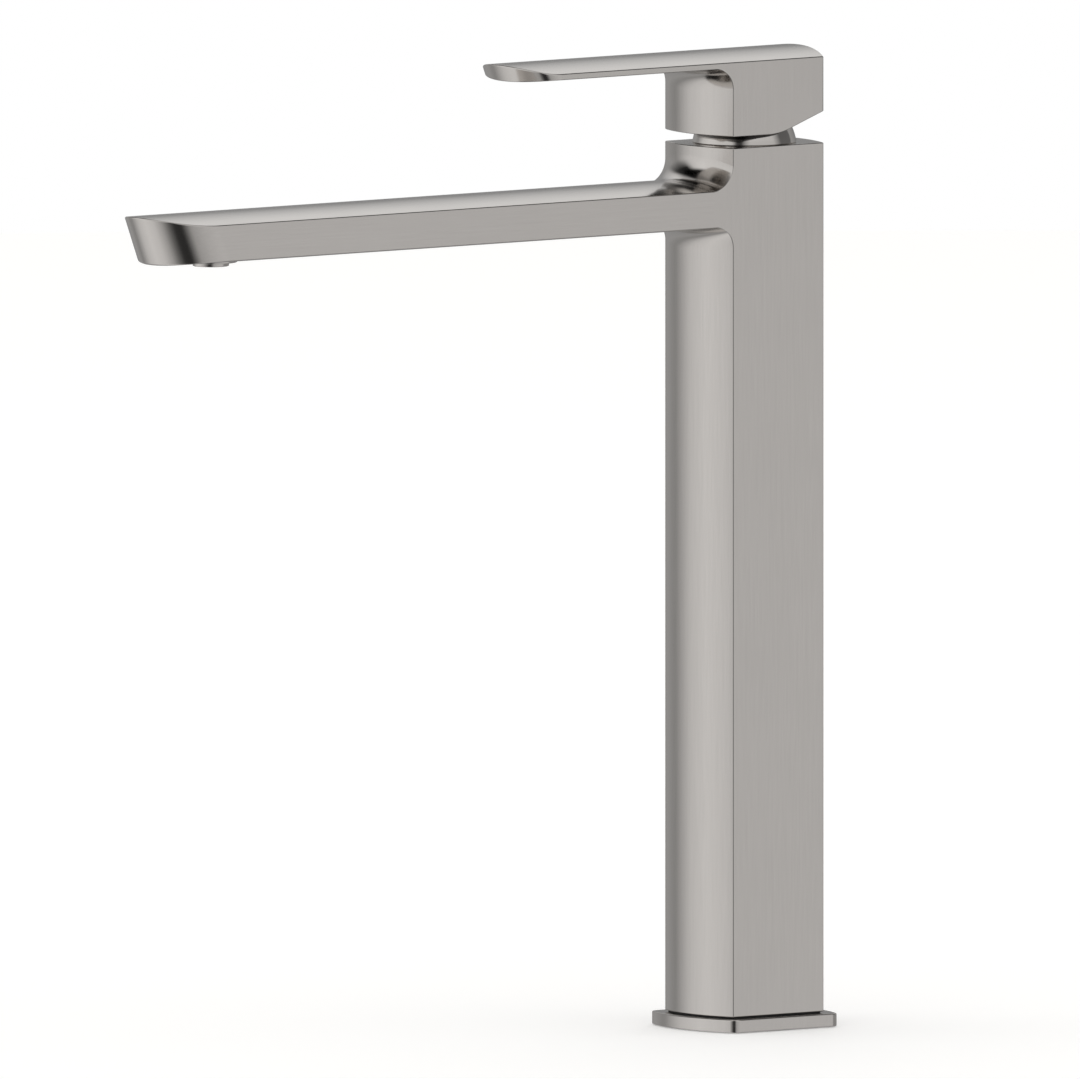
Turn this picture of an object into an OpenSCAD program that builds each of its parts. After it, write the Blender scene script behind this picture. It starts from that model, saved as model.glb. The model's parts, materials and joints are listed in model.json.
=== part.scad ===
// Tall basin mixer with a long straight spout, a lever handle and its inner works.
// Millimetres, +Z up, the spout points to -Y, the flat sides face +X and -X.
// The origin is on the column axis, in the plane of the deck.

/* [Column] */
// Width of column, spout and handle across their flat sides
column_width = 38; // [37:0.5:42]
// Length of the column's flat sides, front to back
side_length = 38.2; // [37:0.2:44]
// Rise of the round front and back faces over their corners
front_crown = 4; // [3:0.25:6]
// Height of the column's top above the deck
column_top = 298.8; // [220:1:360]
// Wall of the hollow column
column_wall = 3; // [2.5:0.25:3.5]

/* [Spout] */
// From the column axis to the spout's tip
spout_reach = 258.6; // [150:1:300]
// Height of the spout's flat sides
spout_edge = 12.3; // [11.6:0.1:15]
// From the column's top down to the spout's upper edge
spout_drop = 14.2; // [12:0.2:17]
// Rise of the spout's round top over its edges
spout_crown = 2.7; // [1.5:0.1:4]
// Depth of the spout's round underside below its edges
spout_bulge = 1.6; // [1:0.1:2.2]
// Lean of the round tips of spout and lever, lower edge set back, in degrees
tip_lean = 20.8; // [12:0.2:26]
// Radius of the fillet above the spout
upper_fillet = 8.5; // [4:0.5:12]
// Radius of the fillet below the spout
lower_fillet = 7; // [4:0.5:12]
// Height of the water channel in the spout
channel_height = 7; // [6:0.25:7.5]
// Width of the water channel in the spout, as a share of the column's width
channel_share = 0.7368; // [0.65:0.01:0.78]

/* [Flange] */
// How far the flange stands out past the flat sides
flange_margin = 4.65; // [3.6:0.05:8]
// How much longer the flange's flat sides are than the column's, at each end
flange_side_margin = 2.5; // [1:0.25:5]
// Rise of the flange's round front and back over their corners
flange_crown = 5.4; // [4:0.1:8]
// Radius of the flange's corners
flange_corner = 3.6; // [0.6:0.1:5]
// Thickness of the flange
flange_thickness = 4.4; // [3.4:0.1:8]
// Thickness of the seal between flange and column
foot_gap = 0.4; // [0.3:0.1:1]

/* [Handle] */
// Gap between the column's top and the handle block
handle_gap = 3.9; // [3.5:0.1:5]
// Height of the handle block's sides
block_height = 25.2; // [23:0.2:32]
// From the column axis to the lever's tip
lever_reach = 104.8; // [70:1:130]
// Thickness of the lever's edges
lever_edge = 2; // [1.6:0.1:4]
// Rise of the handle's round top over its edges
handle_crown = 2.6; // [1.5:0.1:4]
// Depth of the lever's round underside below its edges
lever_bulge = 1.1; // [0.5:0.1:2]
// Radius of the fillet between lever and block
lever_fillet = 7; // [3:0.5:9]
// Radius of the lever's front edge in plan
lever_tip_radius = 28.5; // [24:0.5:40]
// Radius of the lever's corners in plan
lever_corner = 7.6; // [4:0.1:12]
// How far the handle lifts, and the slope of its rear underside, in degrees
lift_angle = 20; // [12:1:22]
// Where the rear slope begins behind the column axis
rear_cut_start = 0.7; // [-2:0.1:4]
// Radius that rounds the start of the rear slope
rear_cut_round = 26; // [10:1:40]

/* [Dome collar] */
// Outer radius of the ball-shaped collar, centred on the lift axis, as a share of the column's width
dome_share = 0.4658; // [0.455:0.001:0.475]
// Wall of the dome
dome_wall = 1.5; // [1:0.1:2]
// Radius of the opening at the dome's top, as a share of the column's width
dome_opening_share = 0.2895; // [0.265:0.005:0.315]
// Gap between the dome and the hollow in the handle
dome_gap = 0.4; // [0.35:0.05:0.6]

/* [Cartridge] */
// Outer radius of the cartridge barrel, as a share of the column's width
cartridge_share = 0.32895; // [0.32:0.001:0.334]
// Wall of the cartridge barrel
cartridge_wall = 1.5; // [1.2:0.1:1.6]
// Depth of the lift axis below the column's top
pivot_depth = 2.3; // [1.8:0.1:2.8]
// Thickness of the fixed ceramic disc
fixed_thickness = 3.5; // [3:0.1:4]
// Thickness of the moving ceramic disc
moving_thickness = 3; // [2.6:0.1:3.5]
// Radius of the moving ceramic disc, as a share of the column's width
moving_share = 0.2237; // [0.221:0.001:0.23]
// Radius of the water ports in discs, base and seat, as a share of the column's width
port_share = 0.0684; // [0.055:0.001:0.0684]
// Width of the square stem, as a share of the column's width
stem_share = 0.1842; // [0.16:0.002:0.186]
// Radius of the stem's cross pin
pin_radius = 1.5; // [1.2:0.05:1.6]

/* [Foot] */
// Height of the foot insert above the column's foot
foot_height = 23.2; // [22:0.2:40]
// Radius of the hose ports, the minor radius of an M10 x 1 thread
hose_radius = 4.5; // [4:0.1:4.6]
// From the column axis to each hose port, sideways, as a share of the column's width
hose_share = 0.19737; // [0.185:0.001:0.22]
// Depth of the hose and stud ports
hose_depth = 17; // [12:0.5:18]
// Radius of the stud port, the tapping drill of an M8 thread
stud_radius = 3.4; // [2.5:0.1:4]
// From the column axis back to the stud port, as a share of the column's width
stud_share = 0.23684; // [0.228:0.002:0.26]
// Outer radius of the riser tubes, as a share of the column's width
riser_share = 0.10526; // [0.092:0.001:0.106]
// Wall of the riser tubes
riser_wall = 1; // [0.6:0.1:1.2]

/* [Aerator] */
// From the spout's tip back to the aerator axis
aerator_setback = 32.3; // [29:0.1:60]
// Outer radius of the aerator ring
aerator_radius = 8.95; // [8.8:0.05:9.1]
// Outer radius of the nozzle where it shows
nozzle_radius = 6.15; // [5.8:0.05:6.2]
// Radius of the nozzle's ball
ball_radius = 7.2; // [7.1:0.05:7.25]
// How far the ring stands below the spout
ring_stand = 0.3; // [0.2:0.1:0.8]
// How far the nozzle stands below the ring
nozzle_stand = 1.3; // [0.6:0.1:1.6]

/* [Fits] */
// Radial clearance of a turning or tilting fit
running_fit = 0.08; // [0.04:0.01:0.1]
// Gap on each side of sliding flats, and round static inserts
sliding_gap = 0.1; // [0.08:0.01:0.12]

/* [Hidden] */
$fn = 96;

// Overrun of every cut, and the play of pieces that only lie side by side
overrun = 1;
part_gap = 0.3;
film = 0.05;
press_gap = 0.02;

// Radius of an arc over a chord
function arc_radius(chord, rise) = (pow(chord / 2, 2) + pow(rise, 2)) / (2 * rise);

// Points along an arc about a centre
function arc_points(centre, radius, from, to, steps) = [
    for (i = [0 : steps])
        let (angle = from + (to - from) * i / steps)
        centre + radius * [cos(angle), sin(angle)]
];

// Column and spout levels
half_width = column_width / 2;
column_depth = side_length / 2 + front_crown;
front_radius = arc_radius(column_width, front_crown);
foot_low = flange_thickness + foot_gap;
spout_high = column_top - spout_drop;
spout_low = spout_high - spout_edge;
spout_belly = spout_low - spout_bulge;
tip_shoulder = 0.3;
fillet_sink = 0.1;
tip_radius = half_width + tip_shoulder;
cavity_half_width = half_width - column_wall;
cavity_radius = front_radius - column_wall;
cavity_crown = cavity_radius - sqrt(pow(cavity_radius, 2) - pow(cavity_half_width, 2));
cavity_side = 2 * (column_depth - column_wall - cavity_crown);

// Sizes of the inner works that keep their share of the column's width
neck_share = 0.2242;
pocket_share = 0.121;
inlet_side_share = 0.1474;
inlet_front_share = 0.06579;
outlet_back_share = 0.1632;
outlet_share = 0.0632;
spigot_share = 0.4053;
passage_share = 0.079;
nut_neck_share = 0.3395;
carrier_share = 0.1842;
slot_share = 0.1421;
channel_width = channel_share * column_width;
dome_radius = dome_share * column_width;
dome_opening = dome_opening_share * column_width;
cartridge_radius = cartridge_share * column_width;
moving_radius = moving_share * column_width;
port_radius = port_share * column_width;
stem_width = stem_share * column_width;
hose_offset = hose_share * column_width;
stud_offset = stud_share * column_width;
riser_radius = riser_share * column_width;
neck_radius = neck_share * column_width;
pocket_radius = pocket_share * column_width;
inlet_offset = inlet_side_share * column_width;
inlet_y = -inlet_front_share * column_width;
outlet_y = outlet_back_share * column_width;
outlet_radius = outlet_share * column_width;
spigot_radius = spigot_share * column_width;
passage_radius = passage_share * column_width;
nut_neck_radius = nut_neck_share * column_width;
carrier_half = carrier_share * column_width;
stem_slot = slot_share * column_width;

// Cartridge levels, from the lift axis down
pivot_rise = 3.5;
neck_rise = 3.5;
roof_thickness = 2;
drum_thickness = 1.6;
carrier_height = 5.5;
carrier_floor = 0.4;
base_spigot = 2;
base_cover = 2.5;
pivot_z = column_top - pivot_depth;
roof_top = pivot_z - pivot_rise;
roof_low = roof_top - roof_thickness;
drum_top = roof_low - sliding_gap;
drum_low = drum_top - drum_thickness;
carrier_top = drum_low - part_gap;
moving_top = carrier_top - carrier_height;
fixed_top = moving_top - moving_thickness;
base_top = fixed_top - fixed_thickness;
seat_z = base_top - base_spigot - base_cover;
neck_top = pivot_z + neck_rise;
skirt_low = moving_top + carrier_floor;

// Cartridge radii
barrel_inner = cartridge_radius - cartridge_wall;
flange_rim = 1.3;
clamp_radius = cartridge_radius + flange_rim;
nut_bore_radius = clamp_radius + 2 * sliding_gap;
port_seal_width = 1.3;
port_seal_height = 1.2;
pocket_depth = 1.6;

// Stem foot and the travel that it gives the moving disc
foot_ball = 2;
shank_radius = 1.7;
foot_z = moving_top + carrier_floor + sliding_gap + foot_ball;
foot_arm = pivot_z - foot_z;
disc_travel = foot_arm * sin(lift_angle);
disc_offset = disc_travel / 2;
flare_rise = 0.6;
shank_lean = disc_travel - (pivot_z - carrier_top) * sin(lift_angle);
shank_flare = shank_lean + shank_radius / cos(lift_angle) + part_gap;
stem_square_drop = 4.5;

// Valve seat
seat_height = 20;
seat_flange = 4;
seat_step = 0.6;
seat_spigot = cartridge_radius - seat_step;
seat_low = seat_z - seat_height;
seat_shoulder = seat_z - seat_flange;
cavity_margin = 2;
cavity_top = seat_low - cavity_margin;
outlet_rise = 10.8;
outlet_z = seat_low + outlet_rise;
seat_seal_step = 4;
seat_seal = 0.6;
seat_groove = 1.2;
socket_depth = 7;
socket_seal_depth = 4.2;
riser_seal = 0.5;
riser_groove = 1.05;
riser_play = 0.5;

// Water way from the seat up into the spout
rise_width = 10;
rise_depth = 4.8;
rise_wall = 2.7;
rise_front = -column_depth + rise_wall;
channel_low = (spout_high + spout_low - channel_height) / 2;
channel_top = channel_low + channel_height;
channel_back = rise_front + rise_depth;
channel_end_wall = 21.6;
channel_front = -spout_reach + channel_end_wall;

// Foot
foot_top = foot_low + foot_height;
port_y = inlet_y;
gasket_edge = 2;
gasket_width = 3.4;
gasket_depth = 1.6;
gasket_outer = half_width + flange_margin - gasket_edge;
foot_seal_inset = 0.8;
screw_edge = 4.5;
screw_x = cavity_half_width - screw_edge;
screw_y = 11.5;
screw_radius = 1.95;
screw_head_radius = 3.6;
screw_head_height = 4;
screw_head_sink = 0.4;
screw_hole = 2.2;
screw_grip = 9;
lug_half = 4.2;
lug_height = 12;
hex_radius = 1.73;
hex_depth = 2;

// Retaining nut and collar
nut_neck_rise = 4;
nut_bore_gap = 1.08;
nut_bore = neck_radius + nut_bore_gap;
nut_notch_width = 3;
nut_notch_depth = 1.2;
collar_bore = nut_neck_radius + 1.5 * sliding_gap;
collar_bore_height = 3.2;
collar_seal = 0.7;
collar_groove = 1.3;
collar_seal_rise = 1.5;
turret_seal_size = 0.5;

// Handle levels
handle_low = column_top + handle_gap;
handle_edge = handle_low + block_height;
lever_low = handle_edge - lever_edge;
hollow_radius = dome_radius + dome_gap;
bush_wall = 0.95;
bush_half = stem_width / 2 + press_gap + bush_wall;
socket_half = bush_half + film;
socket_roof = 4;
socket_top = handle_edge - socket_roof;
stem_top = socket_top - overrun;
bush_low = pivot_z + hollow_radius + dome_gap;
clamp_screw = 2.5;
clamp_screw_length = 8;
clamp_hex_radius = 1.44;
clamp_hex_depth = 3;
screw_z = (bush_low + socket_top) / 2;
plug_radius = 3.15;
plug_thickness = 2.4;
plug_sink = 0.2;

// Aerator levels
aerator_y = -spout_reach + aerator_setback;
ring_low = spout_belly - ring_stand;
ring_height = 6.5;
ring_top = ring_low + ring_height;
insert_rim = 0.6;
seal_thickness = 1;
ledge_z = ring_top + insert_rim + seal_thickness;
ledge_thickness = 1.5;
ledge_radius = 6.6;
boss_wall = 2.5;
boss_radius = aerator_radius + boss_wall;
ball_rise = 4;
ball_z = ring_low + ball_rise;
ball_below = 2.5;
ball_above = 1.2;
ring_mouth = 6.9;
nozzle_wall = 1.05;
nozzle_low = ring_low - nozzle_stand;
nozzle_bore = nozzle_radius - nozzle_wall;
screen_sink = 0.5;
screen_thickness = 1.5;
screen_hole = 0.5;
screen_pitch = 1.5;
screen_rings = 2;
insert_height = 2.3;
insert_radius = ledge_radius - part_gap;
insert_holes = 12;
insert_hole = 0.5;

// Shared shapes

// Upright bar with flat sides and round front and back
module crowned_bar(width, side, crown, low, high) {
    radius = arc_radius(width, crown);
    depth = side / 2 + crown;
    intersection() {
        translate([-width / 2, -depth - overrun, low])
            cube([width, 2 * (depth + overrun), high - low]);
        translate([0, radius - depth, low]) cylinder(r = radius, h = high - low);
        translate([0, depth - radius, low]) cylinder(r = radius, h = high - low);
    }
}

// Long round along the spout, whose crest or belly lies at the given level
module long_round(radius, axis_z, reach) {
    translate([0, column_depth + overrun, axis_z]) rotate([90, 0, 0])
        cylinder(r = radius, h = reach + column_depth + 3 * overrun);
}

// Fillet that runs round the crowned front face, on top of a level or under it
module front_fillet(radius, level, up) {
    sunk = up ? level - fillet_sink : level + fillet_sink;
    intersection() {
        translate([0, front_radius - column_depth, sunk]) mirror([0, 0, up ? 0 : 1])
            rotate_extrude() difference() {
                translate([front_radius - overrun, -overrun])
                    square([radius + overrun, radius + overrun]);
                translate([front_radius + radius, radius]) circle(r = radius);
            }
        translate([-half_width, -column_depth - radius - overrun, level - radius - overrun])
            cube([column_width, column_depth + radius, 2 * (radius + overrun)]);
    }
}

// Ring of round section about an upright axis
module round_ring(ring_radius, section_radius, level) {
    translate([0, 0, level]) rotate_extrude()
        translate([ring_radius, 0]) circle(r = section_radius, $fn = 32);
}

// Tube with a square section of material, between two levels
module plain_ring(outer, inner, low, high) {
    translate([0, 0, low]) difference() {
        cylinder(r = outer, h = high - low);
        translate([0, 0, -overrun]) cylinder(r = inner, h = high - low + 2 * overrun);
    }
}

// Outline of a plate with flat sides, round ends and rounded corners
function plate_outline(width, side, crown, corner) =
    let (radius = arc_radius(width, crown))
    let (centre = side / 2 + crown - radius)
    let (reach = width / 2 - corner)
    let (corner_y = centre + sqrt(pow(radius - corner, 2) - pow(reach, 2)))
    let (turn = asin(reach / (radius - corner)))
    concat(
        arc_points([reach, corner_y], corner, 0, 90 - turn, 6),
        arc_points([0, centre], radius, 90 - turn, 90 + turn, 32),
        arc_points([-reach, corner_y], corner, 90 + turn, 180, 6),
        arc_points([-reach, -corner_y], corner, 180, 270 - turn, 6),
        arc_points([0, -centre], radius, 270 - turn, 270 + turn, 32),
        arc_points([reach, -corner_y], corner, 270 + turn, 360, 6)
    );

module at_inlets(offset, y) {
    for (side = [-1, 1])
        translate([side * offset, y, 0]) children();
}

module at_corners() {
    for (x = [-1, 1], y = [-1, 1])
        translate([x * screw_x, y * screw_y, 0]) children();
}

// Column and spout

module spout_bar() {
    top_radius = arc_radius(column_width, spout_crown);
    under_radius = arc_radius(column_width, spout_bulge);
    crest = spout_high + spout_crown;
    middle = (crest + spout_belly) / 2;
    half_height = crest - middle + overrun;
    axis_top = -spout_reach + tip_radius / cos(tip_lean);
    axis_middle = axis_top + (crest - middle) * tan(tip_lean);
    intersection() {
        union() {
            translate([0, axis_top, crest]) rotate([tip_lean, 0, 0])
                cylinder(r = tip_radius, h = 4 * half_height, center = true);
            translate([-tip_radius, axis_middle, middle - half_height])
                cube([2 * tip_radius, -axis_middle, 2 * half_height]);
        }
        translate([-half_width, -spout_reach - overrun, middle - half_height])
            cube([column_width, spout_reach + overrun, 2 * half_height]);
        long_round(top_radius, crest - top_radius, spout_reach);
        long_round(under_radius, spout_belly + under_radius, spout_reach);
    }
}

// Hollow of the column, less the corner lugs that take the foot screws
module column_hollow() {
    difference() {
        crowned_bar(2 * cavity_half_width, cavity_side, cavity_crown, 0, cavity_top);
        for (x = [0, 1], y = [0, 1]) mirror([x, 0, 0]) mirror([0, y, 0])
            translate([screw_x - lug_half, screw_y - lug_half, foot_top + part_gap])
                cube([column_width, side_length, lug_height]);
    }
}

module body_bores() {
    translate([0, 0, cavity_top - overrun])
        cylinder(r = seat_spigot + sliding_gap, h = seat_shoulder - cavity_top + overrun);
    translate([0, 0, seat_shoulder])
        cylinder(r = cartridge_radius + sliding_gap, h = roof_low - seat_shoulder);
    translate([0, 0, roof_low])
        cylinder(r = nut_bore_radius, h = column_top - roof_low + overrun);
    at_corners() translate([0, 0, foot_top])
        cylinder(r = screw_radius + film, h = screw_grip + overrun);
}

module water_way() {
    // out of the valve seat
    translate([0, 0, outlet_z]) rotate([90, 0, 0])
        cylinder(r = outlet_radius, h = -channel_back + overrun);
    // up in front of the cartridge
    translate([-rise_width / 2, rise_front, outlet_z - outlet_radius])
        cube([rise_width, rise_depth, channel_top - outlet_z + outlet_radius]);
    // along the spout, round the aerator's boss
    difference() {
        translate([-channel_width / 2, channel_front, channel_low])
            cube([channel_width, channel_back - channel_front, channel_height]);
        translate([0, aerator_y, channel_low - overrun])
            cylinder(r = boss_radius, h = ledge_z + ledge_thickness - channel_low + overrun);
    }
}

module aerator_bore() {
    translate([0, aerator_y, spout_belly - overrun]) {
        cylinder(r = aerator_radius + film, h = ledge_z - spout_belly + overrun);
        cylinder(r = ledge_radius, h = ledge_z + ledge_thickness - spout_belly + 2 * overrun);
    }
}

module body() {
    color([0.66, 0.65, 0.63]) difference() {
        union() {
            crowned_bar(column_width, side_length, front_crown, foot_low, column_top);
            spout_bar();
            front_fillet(upper_fillet, spout_high, true);
            front_fillet(lower_fillet, spout_low, false);
        }
        column_hollow();
        body_bores();
        water_way();
        aerator_bore();
    }
}

// Foot of the column

module base_flange() {
    color([0.66, 0.65, 0.63]) difference() {
        linear_extrude(flange_thickness)
            polygon(plate_outline(column_width + 2 * flange_margin,
                side_length + 2 * flange_side_margin, flange_crown, flange_corner));
        translate([0, 0, -overrun])
            cylinder(r = spigot_radius + sliding_gap, h = flange_thickness + 2 * overrun);
        plain_ring(gasket_outer + film, gasket_outer - gasket_width - film, -overrun,
            gasket_depth + film);
    }
}

module base_gasket() {
    color([0.1, 0.1, 0.1])
        plain_ring(gasket_outer, gasket_outer - gasket_width, 0, gasket_depth);
}

module foot_seal() {
    inset = foot_seal_inset;
    color([0.1, 0.1, 0.1]) difference() {
        crowned_bar(column_width - 2 * inset, side_length - 2 * inset, front_crown,
            flange_thickness, foot_low);
        cylinder(r = spigot_radius + sliding_gap, h = foot_low + overrun);
        at_corners() cylinder(r = screw_head_radius + sliding_gap, h = foot_low + overrun);
    }
}

module foot_insert() {
    link_offset = (hose_offset + inlet_offset) / 2;
    socket_floor = foot_top - socket_depth;
    color([0.78, 0.64, 0.32]) difference() {
        union() {
            cylinder(r = spigot_radius, h = foot_low + overrun);
            crowned_bar(2 * (cavity_half_width - sliding_gap), cavity_side - 2 * sliding_gap,
                cavity_crown, foot_low, foot_top);
        }
        at_inlets(hose_offset, port_y) translate([0, 0, -overrun])
            cylinder(r = hose_radius, h = hose_depth + overrun);
        at_inlets(link_offset, port_y) translate([0, 0, hose_depth - overrun])
            cylinder(r = passage_radius, h = socket_floor - hose_depth + 2 * overrun);
        at_inlets(inlet_offset, port_y) {
            translate([0, 0, socket_floor])
                cylinder(r = riser_radius + film, h = socket_depth + overrun);
            seal_groove(foot_top - socket_seal_depth);
        }
        translate([0, stud_offset, -overrun])
            cylinder(r = stud_radius, h = hose_depth + overrun);
        at_corners() {
            translate([0, 0, -overrun]) cylinder(r = screw_head_radius + sliding_gap,
                h = foot_low + screw_head_sink + screw_head_height + overrun);
            cylinder(r = screw_hole, h = foot_top + overrun);
        }
    }
}

// Groove in a tube socket for its O-ring
module seal_groove(level) {
    translate([0, 0, level - riser_seal - film])
        cylinder(r = riser_radius + riser_groove, h = 2 * (riser_seal + film));
}

module foot_screws() {
    head_low = foot_low + screw_head_sink;
    color([0.7, 0.7, 0.72]) at_corners() difference() {
        union() {
            translate([0, 0, head_low]) cylinder(r = screw_head_radius, h = screw_head_height);
            translate([0, 0, head_low + screw_head_height])
                cylinder(r = screw_radius, h = foot_top + screw_grip - head_low - screw_head_height);
        }
        translate([0, 0, head_low - overrun])
            cylinder(r = hex_radius, h = hex_depth + overrun, $fn = 6);
    }
}

// Risers and valve seat

module riser_tube(side) {
    low = foot_top - socket_depth + riser_play;
    high = seat_low + socket_depth - riser_play;
    color([0.80, 0.50, 0.34]) translate([side * inlet_offset, inlet_y, 0])
        plain_ring(riser_radius, riser_radius - riser_wall, low, high);
}

module hot_riser_tube() {
    riser_tube(-1);
}

module cold_riser_tube() {
    riser_tube(1);
}

module riser_seals() {
    levels = [foot_top - socket_seal_depth, seat_low + socket_seal_depth];
    color([0.08, 0.08, 0.08]) at_inlets(inlet_offset, inlet_y)
        for (level = levels)
            round_ring(riser_radius + riser_seal + press_gap, riser_seal, level);
}

module valve_seat() {
    color([0.78, 0.64, 0.32]) difference() {
        union() {
            translate([0, 0, seat_low]) cylinder(r = seat_spigot, h = seat_height);
            translate([0, 0, seat_shoulder]) cylinder(r = cartridge_radius, h = seat_flange);
        }
        at_inlets(inlet_offset, inlet_y) {
            translate([0, 0, seat_low - overrun])
                cylinder(r = riser_radius + film, h = socket_depth + overrun);
            seal_groove(seat_low + socket_seal_depth);
            translate([0, 0, seat_low]) cylinder(r = port_radius, h = seat_height + overrun);
        }
        translate([0, outlet_y, outlet_z])
            cylinder(r = port_radius, h = seat_z - outlet_z + overrun);
        translate([0, outlet_y, outlet_z]) rotate([90, 0, 0])
            cylinder(r = outlet_radius, h = outlet_y + cartridge_radius);
        for (step = [-1, 1])
            plain_ring(cartridge_radius, seat_spigot - seat_groove,
                outlet_z + step * seat_seal_step - seat_seal - film,
                outlet_z + step * seat_seal_step + seat_seal + film);
    }
}

module valve_seat_seals() {
    color([0.08, 0.08, 0.08]) for (step = [-1, 1])
        round_ring(seat_spigot + film - seat_seal, seat_seal, outlet_z + step * seat_seal_step);
}

// Cartridge

// The three ports, hot, cold and mixed
module at_ports() {
    at_inlets(inlet_offset, inlet_y) children();
    translate([0, outlet_y, 0]) children();
}

module cartridge_base() {
    color([0.85, 0.85, 0.83]) difference() {
        union() {
            translate([0, 0, seat_z]) cylinder(r = cartridge_radius, h = base_cover);
            translate([0, 0, seat_z])
                cylinder(r = barrel_inner - sliding_gap, h = base_cover + base_spigot);
        }
        at_ports() {
            translate([0, 0, seat_z]) cylinder(r = port_radius, h = base_top - seat_z + overrun);
            translate([0, 0, seat_z - overrun])
                cylinder(r = port_radius + port_seal_width + film,
                    h = port_seal_height + film + overrun);
        }
    }
}

module port_seals() {
    color([0.08, 0.08, 0.08]) at_ports()
        plain_ring(port_radius + port_seal_width, port_radius + film, seat_z,
            seat_z + port_seal_height);
}

module cartridge_housing() {
    color([0.88, 0.88, 0.86]) difference() {
        union() {
            translate([0, 0, seat_z + base_cover])
                cylinder(r = cartridge_radius, h = roof_top - seat_z - base_cover);
            translate([0, 0, roof_low]) cylinder(r = clamp_radius, h = roof_thickness);
        }
        translate([0, 0, seat_z]) cylinder(r = barrel_inner, h = roof_low - seat_z);
        translate([0, 0, seat_z])
            cylinder(r = neck_radius + running_fit, h = roof_top - seat_z + overrun);
    }
}

module fixed_disc() {
    color([0.95, 0.94, 0.90]) difference() {
        translate([0, 0, base_top]) cylinder(r = barrel_inner - 2 * sliding_gap, h = fixed_thickness);
        at_ports() translate([0, 0, base_top - overrun])
            cylinder(r = port_radius, h = fixed_thickness + 2 * overrun);
    }
}

module moving_disc() {
    color([0.95, 0.94, 0.90]) difference() {
        translate([0, disc_offset, fixed_top + film])
            cylinder(r = moving_radius, h = moving_thickness - film);
        translate([0, outlet_y - port_radius + film, fixed_top - overrun])
            cylinder(r = pocket_radius, h = pocket_depth + overrun);
    }
}

module disc_carrier() {
    pocket = foot_ball + sliding_gap;
    color([0.30, 0.45, 0.60]) difference() {
        intersection() {
            translate([0, disc_offset, moving_top]) cylinder(r = moving_radius, h = carrier_height);
            translate([-carrier_half, -moving_radius, moving_top])
                cube([2 * carrier_half, 3 * moving_radius, carrier_height]);
        }
        translate([-pocket, -pocket, moving_top + carrier_floor])
            cube([2 * pocket, 2 * pocket, carrier_height]);
        translate([-pocket, -pocket, foot_z + flare_rise])
            cube([2 * pocket, pocket + shank_flare, carrier_height]);
    }
}

module turret() {
    slot = carrier_half + sliding_gap;
    drum = barrel_inner - running_fit;
    stem_gap = stem_width / 2 + sliding_gap;
    color([0.75, 0.75, 0.77]) difference() {
        union() {
            translate([0, 0, skirt_low]) cylinder(r = drum, h = drum_top - skirt_low);
            translate([0, 0, skirt_low]) cylinder(r = neck_radius, h = neck_top - skirt_low);
        }
        translate([-slot, -cartridge_radius, skirt_low - overrun])
            cube([2 * slot, 2 * cartridge_radius, drum_low - skirt_low + overrun]);
        translate([-stem_gap, -stem_slot, skirt_low])
            cube([2 * stem_gap, 2 * stem_slot, neck_top - skirt_low + overrun]);
        translate([0, 0, pivot_z]) rotate([0, 90, 0])
            cylinder(r = pin_radius + press_gap, h = 2 * cartridge_radius, center = true);
    }
}

module stem_pin() {
    pin_half = neck_radius - running_fit;
    color([0.7, 0.7, 0.72]) translate([-pin_half, 0, pivot_z]) rotate([0, 90, 0])
        cylinder(r = pin_radius, h = 2 * pin_half);
}

module stem() {
    square_low = pivot_z - stem_square_drop;
    color([0.78, 0.64, 0.32]) difference() {
        union() {
            translate([0, 0, foot_z]) sphere(r = foot_ball);
            translate([0, 0, foot_z]) cylinder(r = shank_radius, h = square_low - foot_z + overrun);
            translate([-stem_width / 2, -stem_width / 2, square_low])
                cube([stem_width, stem_width, stem_top - square_low]);
        }
        translate([-stem_width, 0, pivot_z]) rotate([0, 90, 0])
            cylinder(r = pin_radius + running_fit, h = 2 * stem_width);
    }
}

module turret_seal() {
    color([0.08, 0.08, 0.08])
        round_ring(nut_bore - turret_seal_size - press_gap, turret_seal_size,
            roof_top + turret_seal_size + press_gap);
}

// Nut and trim under the handle

module retaining_nut() {
    seal_z = column_top + collar_seal_rise;
    color([0.78, 0.64, 0.32]) difference() {
        union() {
            translate([0, 0, roof_top])
                cylinder(r = clamp_radius + sliding_gap, h = column_top - roof_top);
            translate([0, 0, roof_top])
                cylinder(r = nut_neck_radius, h = column_top + nut_neck_rise - roof_top);
        }
        translate([0, 0, roof_top - overrun])
            cylinder(r = nut_bore, h = column_top + nut_neck_rise - roof_top + 2 * overrun);
        plain_ring(nut_neck_radius + overrun, nut_neck_radius - collar_groove,
            seal_z - collar_seal - film, seal_z + collar_seal + film);
        for (turn = [0, 90])
            translate([0, 0, column_top + nut_neck_rise]) rotate([0, 0, turn])
                cube([2 * cartridge_radius + 2 * overrun, nut_notch_width, 2 * nut_notch_depth],
                    center = true);
    }
}

module collar_ring() {
    color([0.08, 0.08, 0.08])
        round_ring(nut_neck_radius + sliding_gap - collar_seal, collar_seal,
            column_top + collar_seal_rise);
}

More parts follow.
